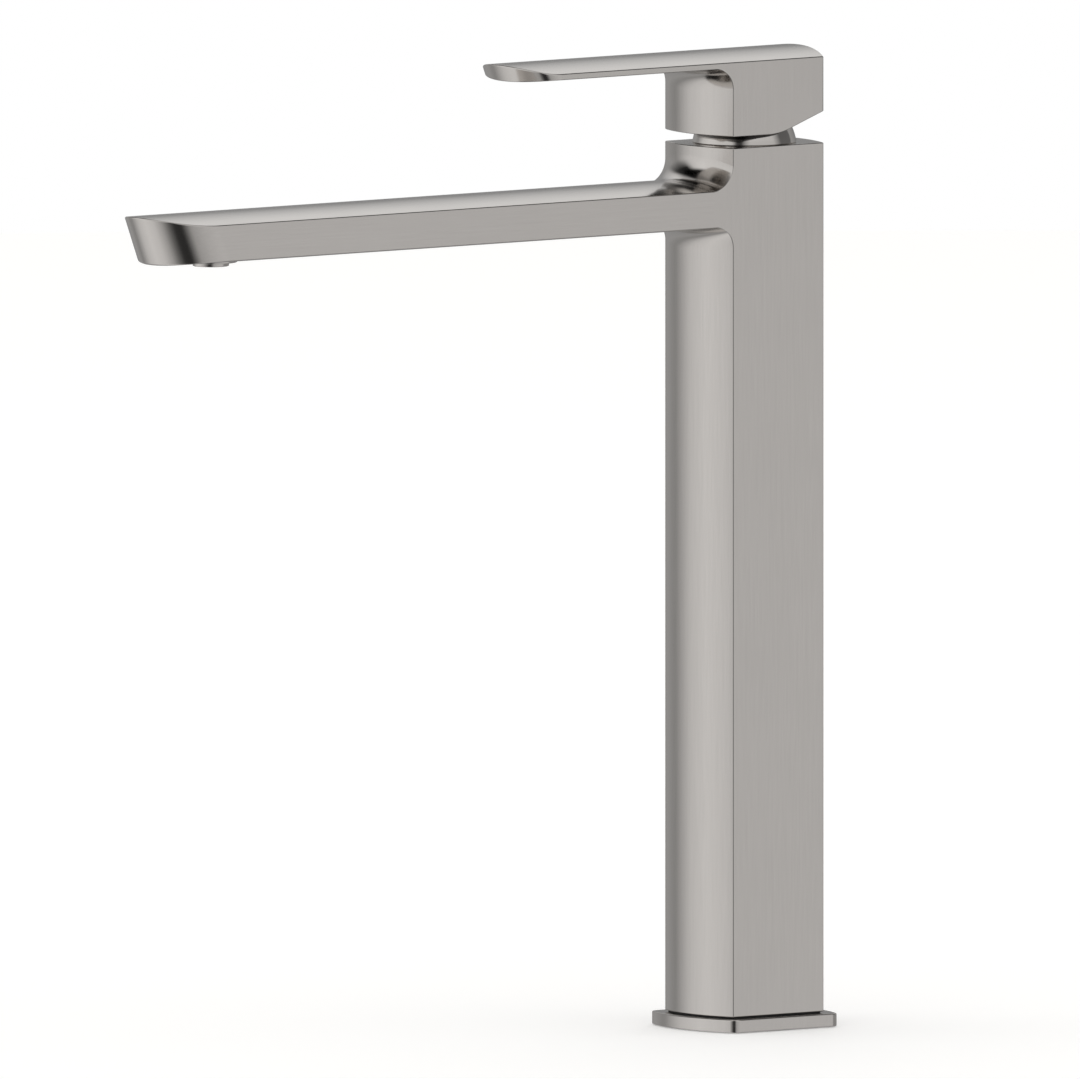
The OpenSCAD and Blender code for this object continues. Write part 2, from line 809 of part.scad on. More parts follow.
module dome_collar() {
    bore_top = column_top + collar_bore_height;
    color([0.66, 0.65, 0.63]) difference() {
        translate([0, 0, pivot_z]) sphere(r = dome_radius);
        translate([0, 0, column_top - 2 * dome_radius])
            cube([4 * dome_radius, 4 * dome_radius, 4 * dome_radius], center = true);
        translate([0, 0, column_top - overrun])
            cylinder(r = collar_bore, h = collar_bore_height + 2 * overrun);
        intersection() {
            translate([0, 0, pivot_z]) sphere(r = dome_radius - dome_wall);
            translate([0, 0, bore_top]) cylinder(r = dome_radius, h = dome_radius);
        }
        translate([0, 0, column_top]) cylinder(r = dome_opening, h = 2 * dome_radius);
    }
}

// Handle

// Plan of the lever with its round front and corners
function lever_outline() =
    let (centre_y = lever_tip_radius - lever_reach)
    let (reach = half_width - lever_corner)
    let (corner_y = centre_y - sqrt(pow(lever_tip_radius - lever_corner, 2) - pow(reach, 2)))
    let (turn = asin(reach / (lever_tip_radius - lever_corner)))
    concat(
        arc_points([-reach, corner_y], lever_corner, 180, 270 - turn, 10),
        arc_points([0, centre_y], lever_tip_radius, 270 - turn, 270 + turn, 24),
        arc_points([reach, corner_y], lever_corner, 270 + turn, 360, 10),
        [[half_width, 0], [-half_width, 0]]
    );

// Side profile of the block, with the rear underside sloping up
function block_profile() =
    let (tangent = rear_cut_round * tan(lift_angle / 2))
    let (round_y = rear_cut_start - tangent)
    let (far = column_depth + overrun)
    let (top = handle_edge + handle_crown + overrun)
    concat(
        [[-far, handle_low]],
        arc_points([round_y, handle_low + rear_cut_round], rear_cut_round, 270, 270 + lift_angle, 8),
        [[far, handle_low + (far - rear_cut_start) * tan(lift_angle)], [far, top], [-far, top]]
    );

module handle_shell() {
    top_radius = arc_radius(column_width, handle_crown);
    under_radius = arc_radius(column_width, lever_bulge);
    crest = handle_edge + handle_crown;
    intersection() {
        union() {
            intersection() {
                crowned_bar(column_width, side_length, front_crown, handle_low, crest + overrun);
                rotate([90, 0, 90]) linear_extrude(2 * column_width, center = true)
                    polygon(block_profile());
            }
            intersection() {
                translate([0, -lever_reach, crest])
                    rotate([tip_lean, 0, 0])
                        translate([0, lever_reach, 0])
                            linear_extrude(2 * lever_reach, center = true)
                                polygon(lever_outline());
                translate([-half_width, -lever_reach, lever_low - lever_bulge - overrun])
                    cube([column_width, lever_reach, lever_edge + lever_bulge + handle_crown
                        + 2 * overrun]);
                long_round(under_radius, lever_low - lever_bulge + under_radius, lever_reach);
            }
            front_fillet(lever_fillet, lever_low, false);
        }
        long_round(top_radius, crest - top_radius, lever_reach);
    }
}

module handle() {
    color([0.66, 0.65, 0.63]) difference() {
        handle_shell();
        translate([0, 0, pivot_z]) sphere(r = hollow_radius);
        translate([-socket_half, -socket_half, pivot_z])
            cube([2 * socket_half, 2 * socket_half, socket_top - pivot_z]);
        translate([0, 0, screw_z]) rotate([-90, 0, 0])
            cylinder(r = clamp_screw + film, h = column_depth);
        translate([0, column_depth - plug_thickness - plug_sink, screw_z]) rotate([-90, 0, 0])
            cylinder(r = plug_radius + film, h = plug_thickness + plug_sink + overrun);
    }
}

module stem_bush() {
    inner = stem_width / 2 + press_gap;
    high = socket_top - film;
    color([0.15, 0.15, 0.16]) difference() {
        translate([-bush_half, -bush_half, bush_low])
            cube([2 * bush_half, 2 * bush_half, high - bush_low]);
        translate([-inner, -inner, bush_low - overrun])
            cube([2 * inner, 2 * inner, high - bush_low + 2 * overrun]);
        translate([0, 0, screw_z]) rotate([-90, 0, 0])
            cylinder(r = clamp_screw + film, h = column_depth);
    }
}

module handle_screw() {
    start = stem_width / 2 + press_gap;
    color([0.35, 0.35, 0.37]) translate([0, start, screw_z]) rotate([-90, 0, 0]) difference() {
        cylinder(r = clamp_screw, h = clamp_screw_length);
        translate([0, 0, clamp_screw_length - clamp_hex_depth])
            cylinder(r = clamp_hex_radius, h = clamp_hex_depth + overrun, $fn = 6);
    }
}

module screw_plug() {
    color([0.66, 0.65, 0.63]) translate([0, column_depth - plug_thickness - plug_sink, screw_z])
        rotate([-90, 0, 0]) cylinder(r = plug_radius, h = plug_thickness);
}

// Aerator

module aerator_housing() {
    color([0.66, 0.65, 0.63]) translate([0, aerator_y, 0]) difference() {
        translate([0, 0, ring_low]) cylinder(r = aerator_radius, h = ring_height);
        translate([0, 0, ball_z]) sphere(r = ball_radius + running_fit);
        translate([0, 0, ball_z])
            cylinder(r = ball_radius + running_fit, h = ring_top - ball_z + overrun);
        translate([0, 0, ring_low - overrun]) cylinder(r = ring_mouth, h = ball_rise + overrun);
    }
}

module aerator_nozzle() {
    color([0.62, 0.61, 0.59]) translate([0, aerator_y, 0]) difference() {
        union() {
            intersection() {
                translate([0, 0, ball_z]) sphere(r = ball_radius);
                translate([0, 0, ball_z - ball_below])
                    cylinder(r = 2 * ball_radius, h = ball_below + ball_above);
            }
            translate([0, 0, nozzle_low]) cylinder(r = nozzle_radius, h = ball_z - nozzle_low);
        }
        translate([0, 0, nozzle_low - overrun])
            cylinder(r = nozzle_bore, h = ball_z + ball_above - nozzle_low + 2 * overrun);
    }
}

module aerator_screen() {
    color([0.85, 0.85, 0.85]) translate([0, aerator_y, nozzle_low + screen_sink]) difference() {
        cylinder(r = nozzle_bore - press_gap, h = screen_thickness);
        for (column = [-screen_rings : screen_rings], row = [-screen_rings : screen_rings])
            if (abs(column + row) <= screen_rings)
                translate([screen_pitch * (column + row / 2), screen_pitch * row * sin(60), -overrun])
                    cylinder(r = screen_hole, h = screen_thickness + 2 * overrun, $fn = 24);
    }
}

module aerator_insert() {
    color([0.9, 0.9, 0.9]) translate([0, aerator_y, ring_top]) difference() {
        union() {
            cylinder(r = aerator_radius - sliding_gap, h = insert_rim);
            cylinder(r = insert_radius, h = insert_rim + insert_height);
        }
        for (i = [0 : insert_holes - 1])
            rotate([0, 0, 360 * i / insert_holes]) translate([insert_radius - 4 * insert_hole, 0, -overrun])
                cylinder(r = insert_hole, h = insert_rim + insert_height + 2 * overrun, $fn = 24);
    }
}

module aerator_seal() {
    color([0.08, 0.08, 0.08]) translate([0, aerator_y, 0])
        plain_ring(aerator_radius - film, ledge_radius, ring_top + insert_rim, ledge_z);
}

body();
base_flange();
base_gasket();
foot_seal();
foot_insert();
foot_screws();
hot_riser_tube();
cold_riser_tube();
riser_seals();
valve_seat();
valve_seat_seals();
cartridge_base();
port_seals();
cartridge_housing();
fixed_disc();
moving_disc();
disc_carrier();
turret();
stem_pin();
stem();
turret_seal();
retaining_nut();
collar_ring();
dome_collar();
handle();
stem_bush();
handle_screw();
screw_plug();
aerator_housing();
aerator_nozzle();
aerator_screen();
aerator_insert();
aerator_seal();
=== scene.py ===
import json
import math
import bpy
import numpy as np
from mathutils import Matrix

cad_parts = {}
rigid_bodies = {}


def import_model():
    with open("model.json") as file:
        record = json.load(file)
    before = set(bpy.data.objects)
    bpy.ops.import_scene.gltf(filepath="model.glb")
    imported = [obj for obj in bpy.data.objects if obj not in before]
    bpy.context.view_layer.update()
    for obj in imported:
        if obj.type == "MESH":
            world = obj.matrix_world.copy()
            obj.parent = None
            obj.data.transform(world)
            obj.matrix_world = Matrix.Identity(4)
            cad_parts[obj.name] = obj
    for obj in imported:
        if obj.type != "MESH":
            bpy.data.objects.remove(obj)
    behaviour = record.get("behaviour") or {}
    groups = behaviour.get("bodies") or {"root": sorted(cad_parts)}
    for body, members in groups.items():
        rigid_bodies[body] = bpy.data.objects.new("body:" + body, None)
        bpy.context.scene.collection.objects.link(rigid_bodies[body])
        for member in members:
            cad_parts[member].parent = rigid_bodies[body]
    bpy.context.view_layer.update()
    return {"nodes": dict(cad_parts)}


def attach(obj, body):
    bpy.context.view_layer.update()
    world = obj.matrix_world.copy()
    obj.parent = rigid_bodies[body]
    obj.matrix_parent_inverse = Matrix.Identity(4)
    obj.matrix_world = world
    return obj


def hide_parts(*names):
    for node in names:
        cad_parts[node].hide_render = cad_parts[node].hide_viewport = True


for old in list(bpy.data.objects):
    bpy.data.objects.remove(old)
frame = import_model()
mm = 0.001

# Main sizes in millimetres, the same as in the part
half = 19.0                  # half the width
sideHalf = 19.1              # half the depth, at the sides
frontCrown = 4.0             # how far the front and the back stand out in their middle
cornerRadius = 0.45          # of the upright and the long edges
lean = math.radians(20.8)    # of the spout's and the lever's tip
pivotZ = 296.5               # level of the lift axis, and centre of the ball shapes
axis = (0.0, 0.0)            # of the column, in plan
outlet = (0.0, -226.3)       # middle of the aerator, in plan

# Fineness of the meshes
edgeSteps = 5                # rows in a rounded edge
sideSteps = 24               # columns along a flat side
bendSteps = (4, 24, 8)       # rows up the face, round the fillet and out along the arm
tipSteps = 12                # rows from the last straight one to the tip
edgeInset = 0.33             # from the side to the first column of a crowned face
weldCell = 2e-4              # points in one cell of this size are the same point
weldShift = 0.137            # keeps round numbers off the cells' borders
tiny = 1e-6

# Mesh building: a patch is a grid of points with their normals, and a cap is a flat outline with its normal


# A vector over its length
def unit(v):
    return v / np.linalg.norm(v, axis=-1, keepdims=True)


# Height of a round face over its edges: root of (radius squared - x squared), less radius, plus rise; and its slope
def crown(x, rise):
    radius = (half ** 2 + rise ** 2) / (2 * rise)
    root = np.sqrt(radius ** 2 - x ** 2)
    return root - radius + rise, -x / root


# Rolling ball in an edge: centre = edge - radius (n1 + n2) / (1 + n1 . n2), the arc turns about it from n1 to n2
def roundEdge(edge, first, second, radius):
    first, second = np.broadcast_to(first, edge.shape), np.broadcast_to(second, edge.shape)
    radius = np.broadcast_to(radius, edge.shape[:1])[:, None]
    dot = (first * second).sum(1, keepdims=True)
    centre = edge - radius * (first + second) / (1 + dot)
    angle = np.arccos(np.clip(dot, -1, 1))
    t = np.linspace(0, 1, edgeSteps + 1)[None, :, None]
    angle = angle[:, None]
    normal = (np.sin((1 - t) * angle) * first[:, None] + np.sin(t * angle) * second[:, None]) / np.sin(angle)
    return centre[:, None] + radius[:, None] * normal, normal


# Rows of a ring: share of the way from the circle to the outline, on rays from the circle's centre. The plane is
# seen along one axis, so across names the two others.
def ringPatch(outline, centre, radius, surface, steps=6, across=(0, 1)):
    outer = outline[:, list(across)]
    ray = unit(outer - np.array(centre))
    circle = centre + np.reshape(radius, (-1, 1)) * ray
    share = np.linspace(0, 1, steps + 1)[:, None, None]
    plan = (1 - share) * circle + share * outer
    points, normals = surface(plan[..., 0], plan[..., 1])
    points[-1] = outline
    return closeRows(points), closeRows(normals)


# A ring closes when its first column comes again at its end
def closeRows(a):
    return np.concatenate([a, a[:, :1]], axis=1)


# Wall between two closed lines
def closedWall(start, end, startNormal, endNormal=None):
    endNormal = startNormal if endNormal is None else endNormal
    return closeRows(np.stack([start, end])), closeRows(np.stack([startNormal, endNormal]))


# Rounded edge that goes all the way round
def closedStrip(arcs):
    return tuple(closeRows(a.swapaxes(0, 1)) for a in arcs)


# From the last row of one grid to the first row of the next
def seam(before, after):
    return tuple(np.stack([a[-1], b[0]]) for a, b in zip(before, after))


# Level plane: z is the same for every x and y
def flatSurface(level, up):
    def surface(x, y):
        return np.stack([x, y, np.full_like(x, level)], -1), np.broadcast_to([0.0, 0.0, up], x.shape + (3,)).copy()
    return surface


# Crowned back: y = half the depth + the crown's height at x
def backSurface(x, z):
    rise, slope = crown(x, frontCrown)
    return np.stack([x, sideHalf + rise, z], -1), unit(np.stack([-slope, 1 + 0 * x, 0 * x], -1))


# Stepped bore from a circle: each (radius, level) adds a wall, or a ledge where only the radius changes
def bore(circle, centre, way, stations):
    patches = []
    ray = unit(circle[:, :2] - np.array(centre))
    before, size = circle, None
    for radius, level in stations:
        after = np.column_stack([centre + radius * ray, np.full(len(ray), level)])
        isWall = size is None or size == radius
        normal = np.column_stack([-ray, 0 * ray[:, 0]]) if isWall else np.broadcast_to([0.0, 0.0, -way], after.shape)
        patches.append(closedWall(before, after, normal))
        before, size = after, radius
    return patches, before


# Welds points by rounding them to cells, turns each quad and cap to face along its normals, and puts the given
# normals on the faces' corners. A quad with a double corner, as at a pole, becomes a triangle or goes.
def buildMesh(name, patches, caps):
    points = np.concatenate([p.reshape(-1, 3) for p, n in patches] + [c for c, n in caps])
    cells = np.round(points / weldCell + weldShift).astype(np.int64)
    _, first, index = np.unique(cells, axis=0, return_index=True, return_inverse=True)
    index = index.reshape(-1)
    vertices = points[first]
    faces, corners = [], []
    start = 0
    for p, n in patches:
        rows, columns = p.shape[:2]
        grid = index[start:start + rows * columns].reshape(rows, columns)
        start += rows * columns
        quad = np.stack([grid[:-1, :-1], grid[:-1, 1:], grid[1:, 1:], grid[1:, :-1]], -1).reshape(-1, 4)
        facing = np.stack([n[:-1, :-1], n[:-1, 1:], n[1:, 1:], n[1:, :-1]], -2).reshape(-1, 4, 3)
        a, b, c, d = (vertices[quad[:, i]] for i in range(4))
        turn = (np.cross(c - a, d - b) * facing.mean(1)).sum(1) < 0
        quad[turn], facing[turn] = quad[turn][:, ::-1], facing[turn][:, ::-1]
        keep = quad != np.roll(quad, 1, axis=1)
        for size in (4, 3):
            chosen = keep.sum(1) == size
            faces += quad[chosen][keep[chosen]].reshape(-1, size).tolist()
            corners.append(facing[chosen][keep[chosen]])
    for c, n in caps:
        loop = index[start:start + len(c)]
        start += len(c)
        loop = loop[loop != np.roll(loop, 1)]
        p = vertices[loop]
        area = np.cross(p, np.roll(p, -1, axis=0)).sum(0)
        loop = loop[::-1] if (area * n).sum() < 0 else loop
        faces.append(loop.tolist())
        corners.append(np.broadcast_to(np.array(n, float), (len(loop), 3)))
    mesh = bpy.data.meshes.new(name)
    mesh.from_pydata((vertices * mm).tolist(), [], faces)
    mesh.polygons.foreach_set("use_smooth", np.ones(len(faces), bool))
    mesh.normals_split_custom_set(unit(np.concatenate(corners)).tolist())
    mesh.update()
    return mesh


# Puts a piece in the scene, on its body and in place of its solids
def addPiece(name, mesh, material, body, nodes):
    piece = bpy.data.objects.new(name, mesh)
    bpy.context.scene.collection.objects.link(piece)
    mesh.materials.append(material)
    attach(piece, body)
    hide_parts(*nodes)
    print("piece", name, len(mesh.polygons), "faces")


# Surface of revolution about an upright line: each (radius, level) of the profile becomes centre + (radius cos a,
# radius sin a) at its level. Each stretch between two corners is a patch of its own, so the corners stay crisp.
def spin(stretches, centre, steps):
    angle = np.linspace(0, 2 * math.pi, steps + 1)
    angle[-1] = 0.0
    ring = np.stack([np.cos(angle), np.sin(angle)], -1)

    def turned(pairs):
        levels = np.broadcast_to(pairs[:, None, 1:], (len(pairs), len(angle), 1))
        return np.concatenate([pairs[:, None, :1] * ring, levels], -1)

    patches = []
    for stretch in stretches:
        p = np.array(stretch, float)
        along = unit(np.gradient(p, axis=0) if len(p) > 2 else np.repeat(np.diff(p, axis=0), 2, axis=0))
        patches.append((turned(p) + [*centre, 0], turned(np.column_stack([along[:, 1], -along[:, 0]]))))
    return patches


# Arc in a profile: centre + radius (cos a, sin a)
def arc(centre, radius, start, end, steps=8):
    a = np.radians(np.linspace(start, end, steps + 1))
    return np.column_stack([centre[0] + radius * np.cos(a), centre[1] + radius * np.sin(a)])


# The bar that bends out of a crowned face, as face rows, fillet rows and arm rows across the columns x. Round the
# fillet y = face - r + r cos a, and z = arm + r (1 - sin a) up or down. With (ny, nz) the profile's normal, the
# normal is (-(ny times the face's slope + nz times the arm's slope), ny, nz).
def bentRows(x, form, up):
    face, faceSlope = crown(x, frontCrown)
    arm, armSlope = crown(x, form["rise"])
    faceY, armZ = -(sideHalf + face), form["edge"] + up * arm
    r = form["fillet"]
    faceSteps, filletSteps, armSteps = bendSteps
    b = np.linspace(0, 1, faceSteps + 1)[:-1, None]
    a = np.radians(np.linspace(0, 90, filletSteps + 1))[:, None]
    c = np.linspace(0, 1, armSteps + 1)[1:, None]
    y = np.concatenate([faceY + 0 * b, faceY - r + r * np.cos(a), (1 - c) * (faceY - r) + c * form["station"]])
    z = np.concatenate([(1 - b) * form["start"] + b * (armZ + up * r), armZ + up * r * (1 - np.sin(a)), armZ + 0 * c])
    ny = np.concatenate([0 * b - 1, -np.cos(a), 0 * c]) + 0 * x
    nz = np.concatenate([0 * b, up * np.sin(a), 0 * c + up]) + 0 * x
    normals = np.stack([ny * faceSlope - nz * up * armSlope, ny, nz], -1)
    return np.stack([x + 0 * y, y, z], -1), unit(normals)


# Normal of an arm's top or under side: (minus the crown's slope, 0, up or down)
def armNormal(x, rise, up):
    return unit(np.stack([-crown(x, rise)[1], np.zeros_like(x), np.full_like(x, up)], -1))


# Side edge, rounded, at x = half and x = -half
def sideStrips(pointsAt, radius):
    strips = []
    for side in (-1.0, 1.0):
        edge, normal = pointsAt(np.array([side * half]))
        strips.append(roundEdge(edge[:, 0], normal[:, 0], np.array([side, 0.0, 0.0]), radius))
    return strips


# Round tip of an arm: a plan outline (x, distance behind the tip) stands on a leaning wall, so its y is
# -reach + distance / cos(lean) + (crest - z) tan(lean)
def tipEdge(outline, form, up):
    x, behind, nx, ny = outline
    z = form["edge"] + up * crown(x, form["rise"])[0]
    y = -form["reach"] + behind / math.cos(lean) + (form["crest"] - z) * math.tan(lean)
    wall = np.column_stack([nx, ny * math.cos(lean), ny * math.sin(lean)])
    apex = 1 - (x / half) ** 2
    radius = cornerRadius + (form["tipRound"] - cornerRadius) * apex
    return roundEdge(np.column_stack([x, y, z]), armNormal(x, form["rise"], up), wall, radius)


# Rows from the last straight one to the tip's arc, and their rounded side edges
def tipRows(form, up, arcPoints, outline):
    endY = -form["reach"] + outline[1][0] / math.cos(lean) + (form["crest"] - form["edge"]) * math.tan(lean)
    share = np.linspace(0, 1, tipSteps + 1)[1:]

    def edges(x):
        y = (1 - share) * form["station"] + share * endY
        points = np.stack([np.broadcast_to(x, (tipSteps, 1)), y[:, None], np.full((tipSteps, 1), form["edge"])], -1)
        return points, np.broadcast_to(armNormal(x, form["rise"], up), points.shape)

    strips = sideStrips(edges, cornerRadius)
    t = np.linspace(-1, 1, len(arcPoints))
    w = share[:, None]
    right = strips[1][0][:, 0]
    x = (1 - w) * right[:, :1] * t + w * arcPoints[:, 0]
    y = (1 - w) * form["station"] + w * arcPoints[:, 1]
    z = form["edge"] + up * crown(x, form["rise"])[0]
    points, normals = np.stack([x, y, z], -1), armNormal(x, form["rise"], up)
    points[-1] = arcPoints
    points[:, 0], points[:, -1] = strips[0][0][:, 0], strips[1][0][:, 0]
    return points, normals, strips


# The first line of each side strip is the outer column of the grid between them
def addSides(grid, strips):
    return tuple(np.concatenate([strips[0][k][:, :1], grid[k], strips[1][k][:, :1]], 1) for k in (0, 1))


# A bent skin with its side strips and its tip; the columns are spread evenly between the rounded side edges
def bentSkin(form, up, outline):
    count = len(outline[0])
    strips = sideStrips(lambda x: bentRows(x, form, up), cornerRadius)
    grid = addSides(bentRows(np.linspace(-1, 1, count)[1:-1] * (half - edgeInset), form, up), strips)
    arcs = tipEdge(outline, form, up)
    *tip, tipStrips = tipRows(form, up, arcs[0][:, 0], outline)
    joined = [tuple(np.concatenate(pair) for pair in zip(a, b)) for a, b in zip(strips, tipStrips)]
    return {"grid": grid, "tip": tip, "arcs": arcs, "strips": joined}


# Wall round a tip, between the arcs above and below
def tipWall(upper, lower, steps=4):
    top, low = upper[0][:, -1], lower[0][:, -1]
    share = np.linspace(0, 1, steps + 1)[:, None, None]
    normals = np.broadcast_to(upper[1][:, -1], (steps + 1,) + top.shape)
    return (1 - share) * top + share * low, normals


# Crowned back face between two levels, with its rounded side edges
def backSkin(low, high, count, steps=1):
    def rows(x):
        z = np.linspace(low, high, steps + 1)[:, None] + 0 * x
        return backSurface(x + 0 * z, z)
    strips = sideStrips(rows, cornerRadius)
    grid = addSides(rows(np.linspace(-1, 1, count)[1:-1] * (half - edgeInset)), strips)
    return {"grid": grid, "strips": strips}


# One row of a skin, of its left strip and of its right strip: the points for k = 0, the normals for k = 1
def skinRow(skin, row, k):
    return [patch[k][row] for patch in (skin["grid"], *skin["strips"])]


# Lines along the two flat sides: shares of the way from the front's edge to the back's on the right, and back again
# on the left
def sideLines(frontRight, backRight, backLeft, frontLeft):
    share = np.linspace(0, 1, sideSteps + 1)[1:-1, None]
    return (1 - share) * frontRight + share * backRight, (1 - share) * backLeft + share * frontLeft


# Closed outline round a column at one row of its skins: front, corner, side, back and so on, as seen from above
def planOutline(front, frontRow, back, backRow):
    def part(k):
        face, faceLeft, faceRight = skinRow(front, frontRow, k)
        rear, rearLeft, rearRight = skinRow(back, backRow, k)
        right, left = sideLines(faceRight[-1], rearRight[-1], rearLeft[-1], faceLeft[-1])
        return np.concatenate([face, faceRight[1:], right, rearRight[::-1], rear[::-1][1:], rearLeft[1:], left,
                               faceLeft[::-1][:-1]])
    return part(0), unit(part(1))


# Spout tip in plan, as x and distance behind the tip: radius (sin a, 1 - cos a)
def circleTip(count):
    a = np.radians(np.linspace(-90, 90, count))
    return half * np.sin(a), half - half * np.cos(a), np.sin(a), -np.cos(a)


print("tools ready")


# Each sRGB channel to linear: c / 12.92 at the dark end, else ((c + 0.055) / 1.055) to the power 2.4
def linear(code):
    value = np.array([int(code[i:i + 2], 16) for i in (1, 3, 5)]) / 255
    value = np.where(value <= 0.04045, value / 12.92, ((value + 0.055) / 1.055) ** 2.4)
    return (*value.tolist(), 1.0)


# A material with its tree and its main shader
def newMaterial(name):
    material = bpy.data.materials.new(name)
    material.use_nodes = True
    tree = material.node_tree
    return material, tree, tree.nodes["Principled BSDF"]


# Adds a node with its settings, its links and, for a ramp, its stops as (place, colour)
def addNode(tree, kind, settings=None, links=None, stops=()):
    node = tree.nodes.new("ShaderNode" + kind)
    for key, value in (settings or {}).items():
        if isinstance(key, str) and hasattr(node, key):
            setattr(node, key, value)
        else:
            node.inputs[key].default_value = value
    for key, source in (links or {}).items():
        tree.links.new(source, node.inputs[key])
    for _ in stops[2:]:
        node.color_ramp.elements.new(0.5)
    for (place, colour), stop in zip(stops, node.color_ramp.elements if stops else ()):
        stop.position, stop.color = place, colour
    return node


# Links colour, roughness and bump to the shader; metallic is one number, so it is set on the socket
def finishShader(tree, shader, colour, rough, bump, metallic):
    for socket, source in (("Base Color", colour), ("Roughness", rough), ("Normal", bump)):
        tree.links.new(source, shader.inputs[socket])
    shader.inputs["Metallic"].default_value = metallic


# Nickel plating on brass or zinc: a warm grey satin metal. The real one is polished with a fine belt or turned,
# which leaves hair lines, and then plated. The eye sees soft reflections, faintly streaked along the lines, with
# patches a little duller than others. Real hair lines are 0.05 mm apart; here they are 0.4 mm, to show at all.
nickelForm = {
    "linePitch": 0.4, "lineLength": 18.0, "patch": 22.0, "bright": "#CAC6C2", "dull": "#C6C2BE",
    "rough": (0.13, 0.17), "turnedRough": (0.10, 0.13), "lineRough": 0.01, "lineStrength": 0.03, "lineDepth": 0.01,
    "noiseSpan": (0.3, 0.7), "bendY": -27.0, "topShare": 0.7,
    # painted shade: the nearly black colour of the handle's under side, the facing below which it is used, and its
    # reach from the axis
    "paintedShade": "#2A2826", "paintedShadeShare": -0.9, "paintedShadeReach": 21.0,
}


# Roughness = patches within their span, plus or minus a little along the lines; colour and bump follow the lines
def nickelFinish(tree, shader, lines, coordinates, span):
    f = nickelForm
    low, high = f["noiseSpan"]
    cloud = addNode(tree, "TexNoise", {"Scale": 1 / (f["patch"] * mm), "Detail": 4.0, "Roughness": 0.55},
                    {"Vector": coordinates})
    rough = addNode(tree, "MapRange", {"From Min": low, "From Max": high, "To Min": span[0], "To Max": span[1]},
                    {"Value": cloud.outputs["Fac"]})
    shade = addNode(tree, "MapRange", {"From Min": low, "From Max": high, "To Min": -f["lineRough"],
                                       "To Max": f["lineRough"]}, {"Value": lines})
    streak = addNode(tree, "Math", {"operation": "ADD"}, {0: rough.outputs["Result"], 1: shade.outputs["Result"]})
    tone = addNode(tree, "ValToRGB", links={"Fac": lines},
                   stops=[(low, linear(f["dull"])), (high, linear(f["bright"]))])
    bump = addNode(tree, "Bump", {"Strength": f["lineStrength"], "Distance": f["lineDepth"] * mm}, {"Height": lines})
    finishShader(tree, shader, tone.outputs["Color"], streak.outputs["Value"], bump.outputs["Normal"], 1.0)


# Belt lines: noise stretched along Z on upright faces and along Y on the arms and on top faces. The handle's under
# side round its hollow is painted nearly black as painted shade, so that the dome reflects a dark line under the
# block; only that line shows.
def brushedNickel(name, hasPaintedShadeUnder=False):
    f = nickelForm
    material, tree, shader = newMaterial(name)
    source = addNode(tree, "TexCoord")
    fine, slow = 1 / (f["linePitch"] * mm), 1 / (f["lineLength"] * mm)
    lines = []
    for stretch in ((fine, fine, slow), (fine, slow, fine)):
        mapping = addNode(tree, "Mapping", {"Scale": stretch}, {"Vector": source.outputs["Object"]})
        lines.append(addNode(tree, "TexNoise", {"Scale": 1.0, "Detail": 2.0, "Roughness": 0.6},
                             {"Vector": mapping.outputs["Vector"]}).outputs["Fac"])
    place = addNode(tree, "SeparateXYZ", links={0: source.outputs["Object"]})
    facing = addNode(tree, "SeparateXYZ", links={0: source.outputs["Normal"]})
    out = addNode(tree, "Math", {"operation": "LESS_THAN", 1: f["bendY"] * mm}, {0: place.outputs["Y"]})
    level = addNode(tree, "Math", {"operation": "ABSOLUTE"}, {0: facing.outputs["Z"]})
    top = addNode(tree, "Math", {"operation": "GREATER_THAN", 1: f["topShare"]}, {0: level.outputs["Value"]})
    which = addNode(tree, "Math", {"operation": "MAXIMUM"}, {0: out.outputs["Value"], 1: top.outputs["Value"]})
    both = addNode(tree, "Mix", links={0: which.outputs["Value"], 2: lines[0], 3: lines[1]})
    nickelFinish(tree, shader, both.outputs[0], source.outputs["Object"], f["rough"])
    if hasPaintedShadeUnder:
        # painted shade: downward faces near the axis take the nearly black colour, so the dome reflects a dark line
        # where the gap is in shade
        down = addNode(tree, "Math", {"operation": "LESS_THAN", 1: f["paintedShadeShare"]}, {0: facing.outputs["Z"]})
        plan = addNode(tree, "CombineXYZ", links={"X": place.outputs["X"], "Y": place.outputs["Y"]})
        away = addNode(tree, "VectorMath", {"operation": "LENGTH"}, {0: plan.outputs["Vector"]})
        near = addNode(tree, "Math", {"operation": "LESS_THAN", 1: f["paintedShadeReach"] * mm}, {0: away.outputs["Value"]})
        under = addNode(tree, "Math", {"operation": "MULTIPLY"}, {0: down.outputs["Value"], 1: near.outputs["Value"]})
        tone = addNode(tree, "Mix", {"data_type": "RGBA", 7: linear(f["paintedShade"])},
                       {0: under.outputs["Value"], 6: shader.inputs["Base Color"].links[0].from_socket})
        tree.links.new(tone.outputs[2], shader.inputs["Base Color"])
    return material


# Lathe lines: noise of (distance from the axis, level), so it is the same all round; the axis is upright
def turnedNickel(name, centre):
    f = nickelForm
    material, tree, shader = newMaterial(name)
    source = addNode(tree, "TexCoord")
    moved = addNode(tree, "Mapping", {"Location": (-centre[0] * mm, -centre[1] * mm, 0.0)},
                    {"Vector": source.outputs["Object"]})
    flat = addNode(tree, "Mapping", {"Scale": (1.0, 1.0, 0.0)}, {"Vector": moved.outputs["Vector"]})
    away = addNode(tree, "VectorMath", {"operation": "LENGTH"}, {0: flat.outputs["Vector"]})
    level = addNode(tree, "SeparateXYZ", links={0: source.outputs["Object"]})
    profile = addNode(tree, "CombineXYZ", links={"X": away.outputs["Value"], "Z": level.outputs["Z"]})
    lines = addNode(tree, "TexNoise", {"Scale": 1 / (f["linePitch"] * mm), "Detail": 2.0, "Roughness": 0.6},
                    {"Vector": profile.outputs["Vector"]})
    nickelFinish(tree, shader, lines.outputs["Fac"], source.outputs["Object"], f["turnedRough"])
    return material


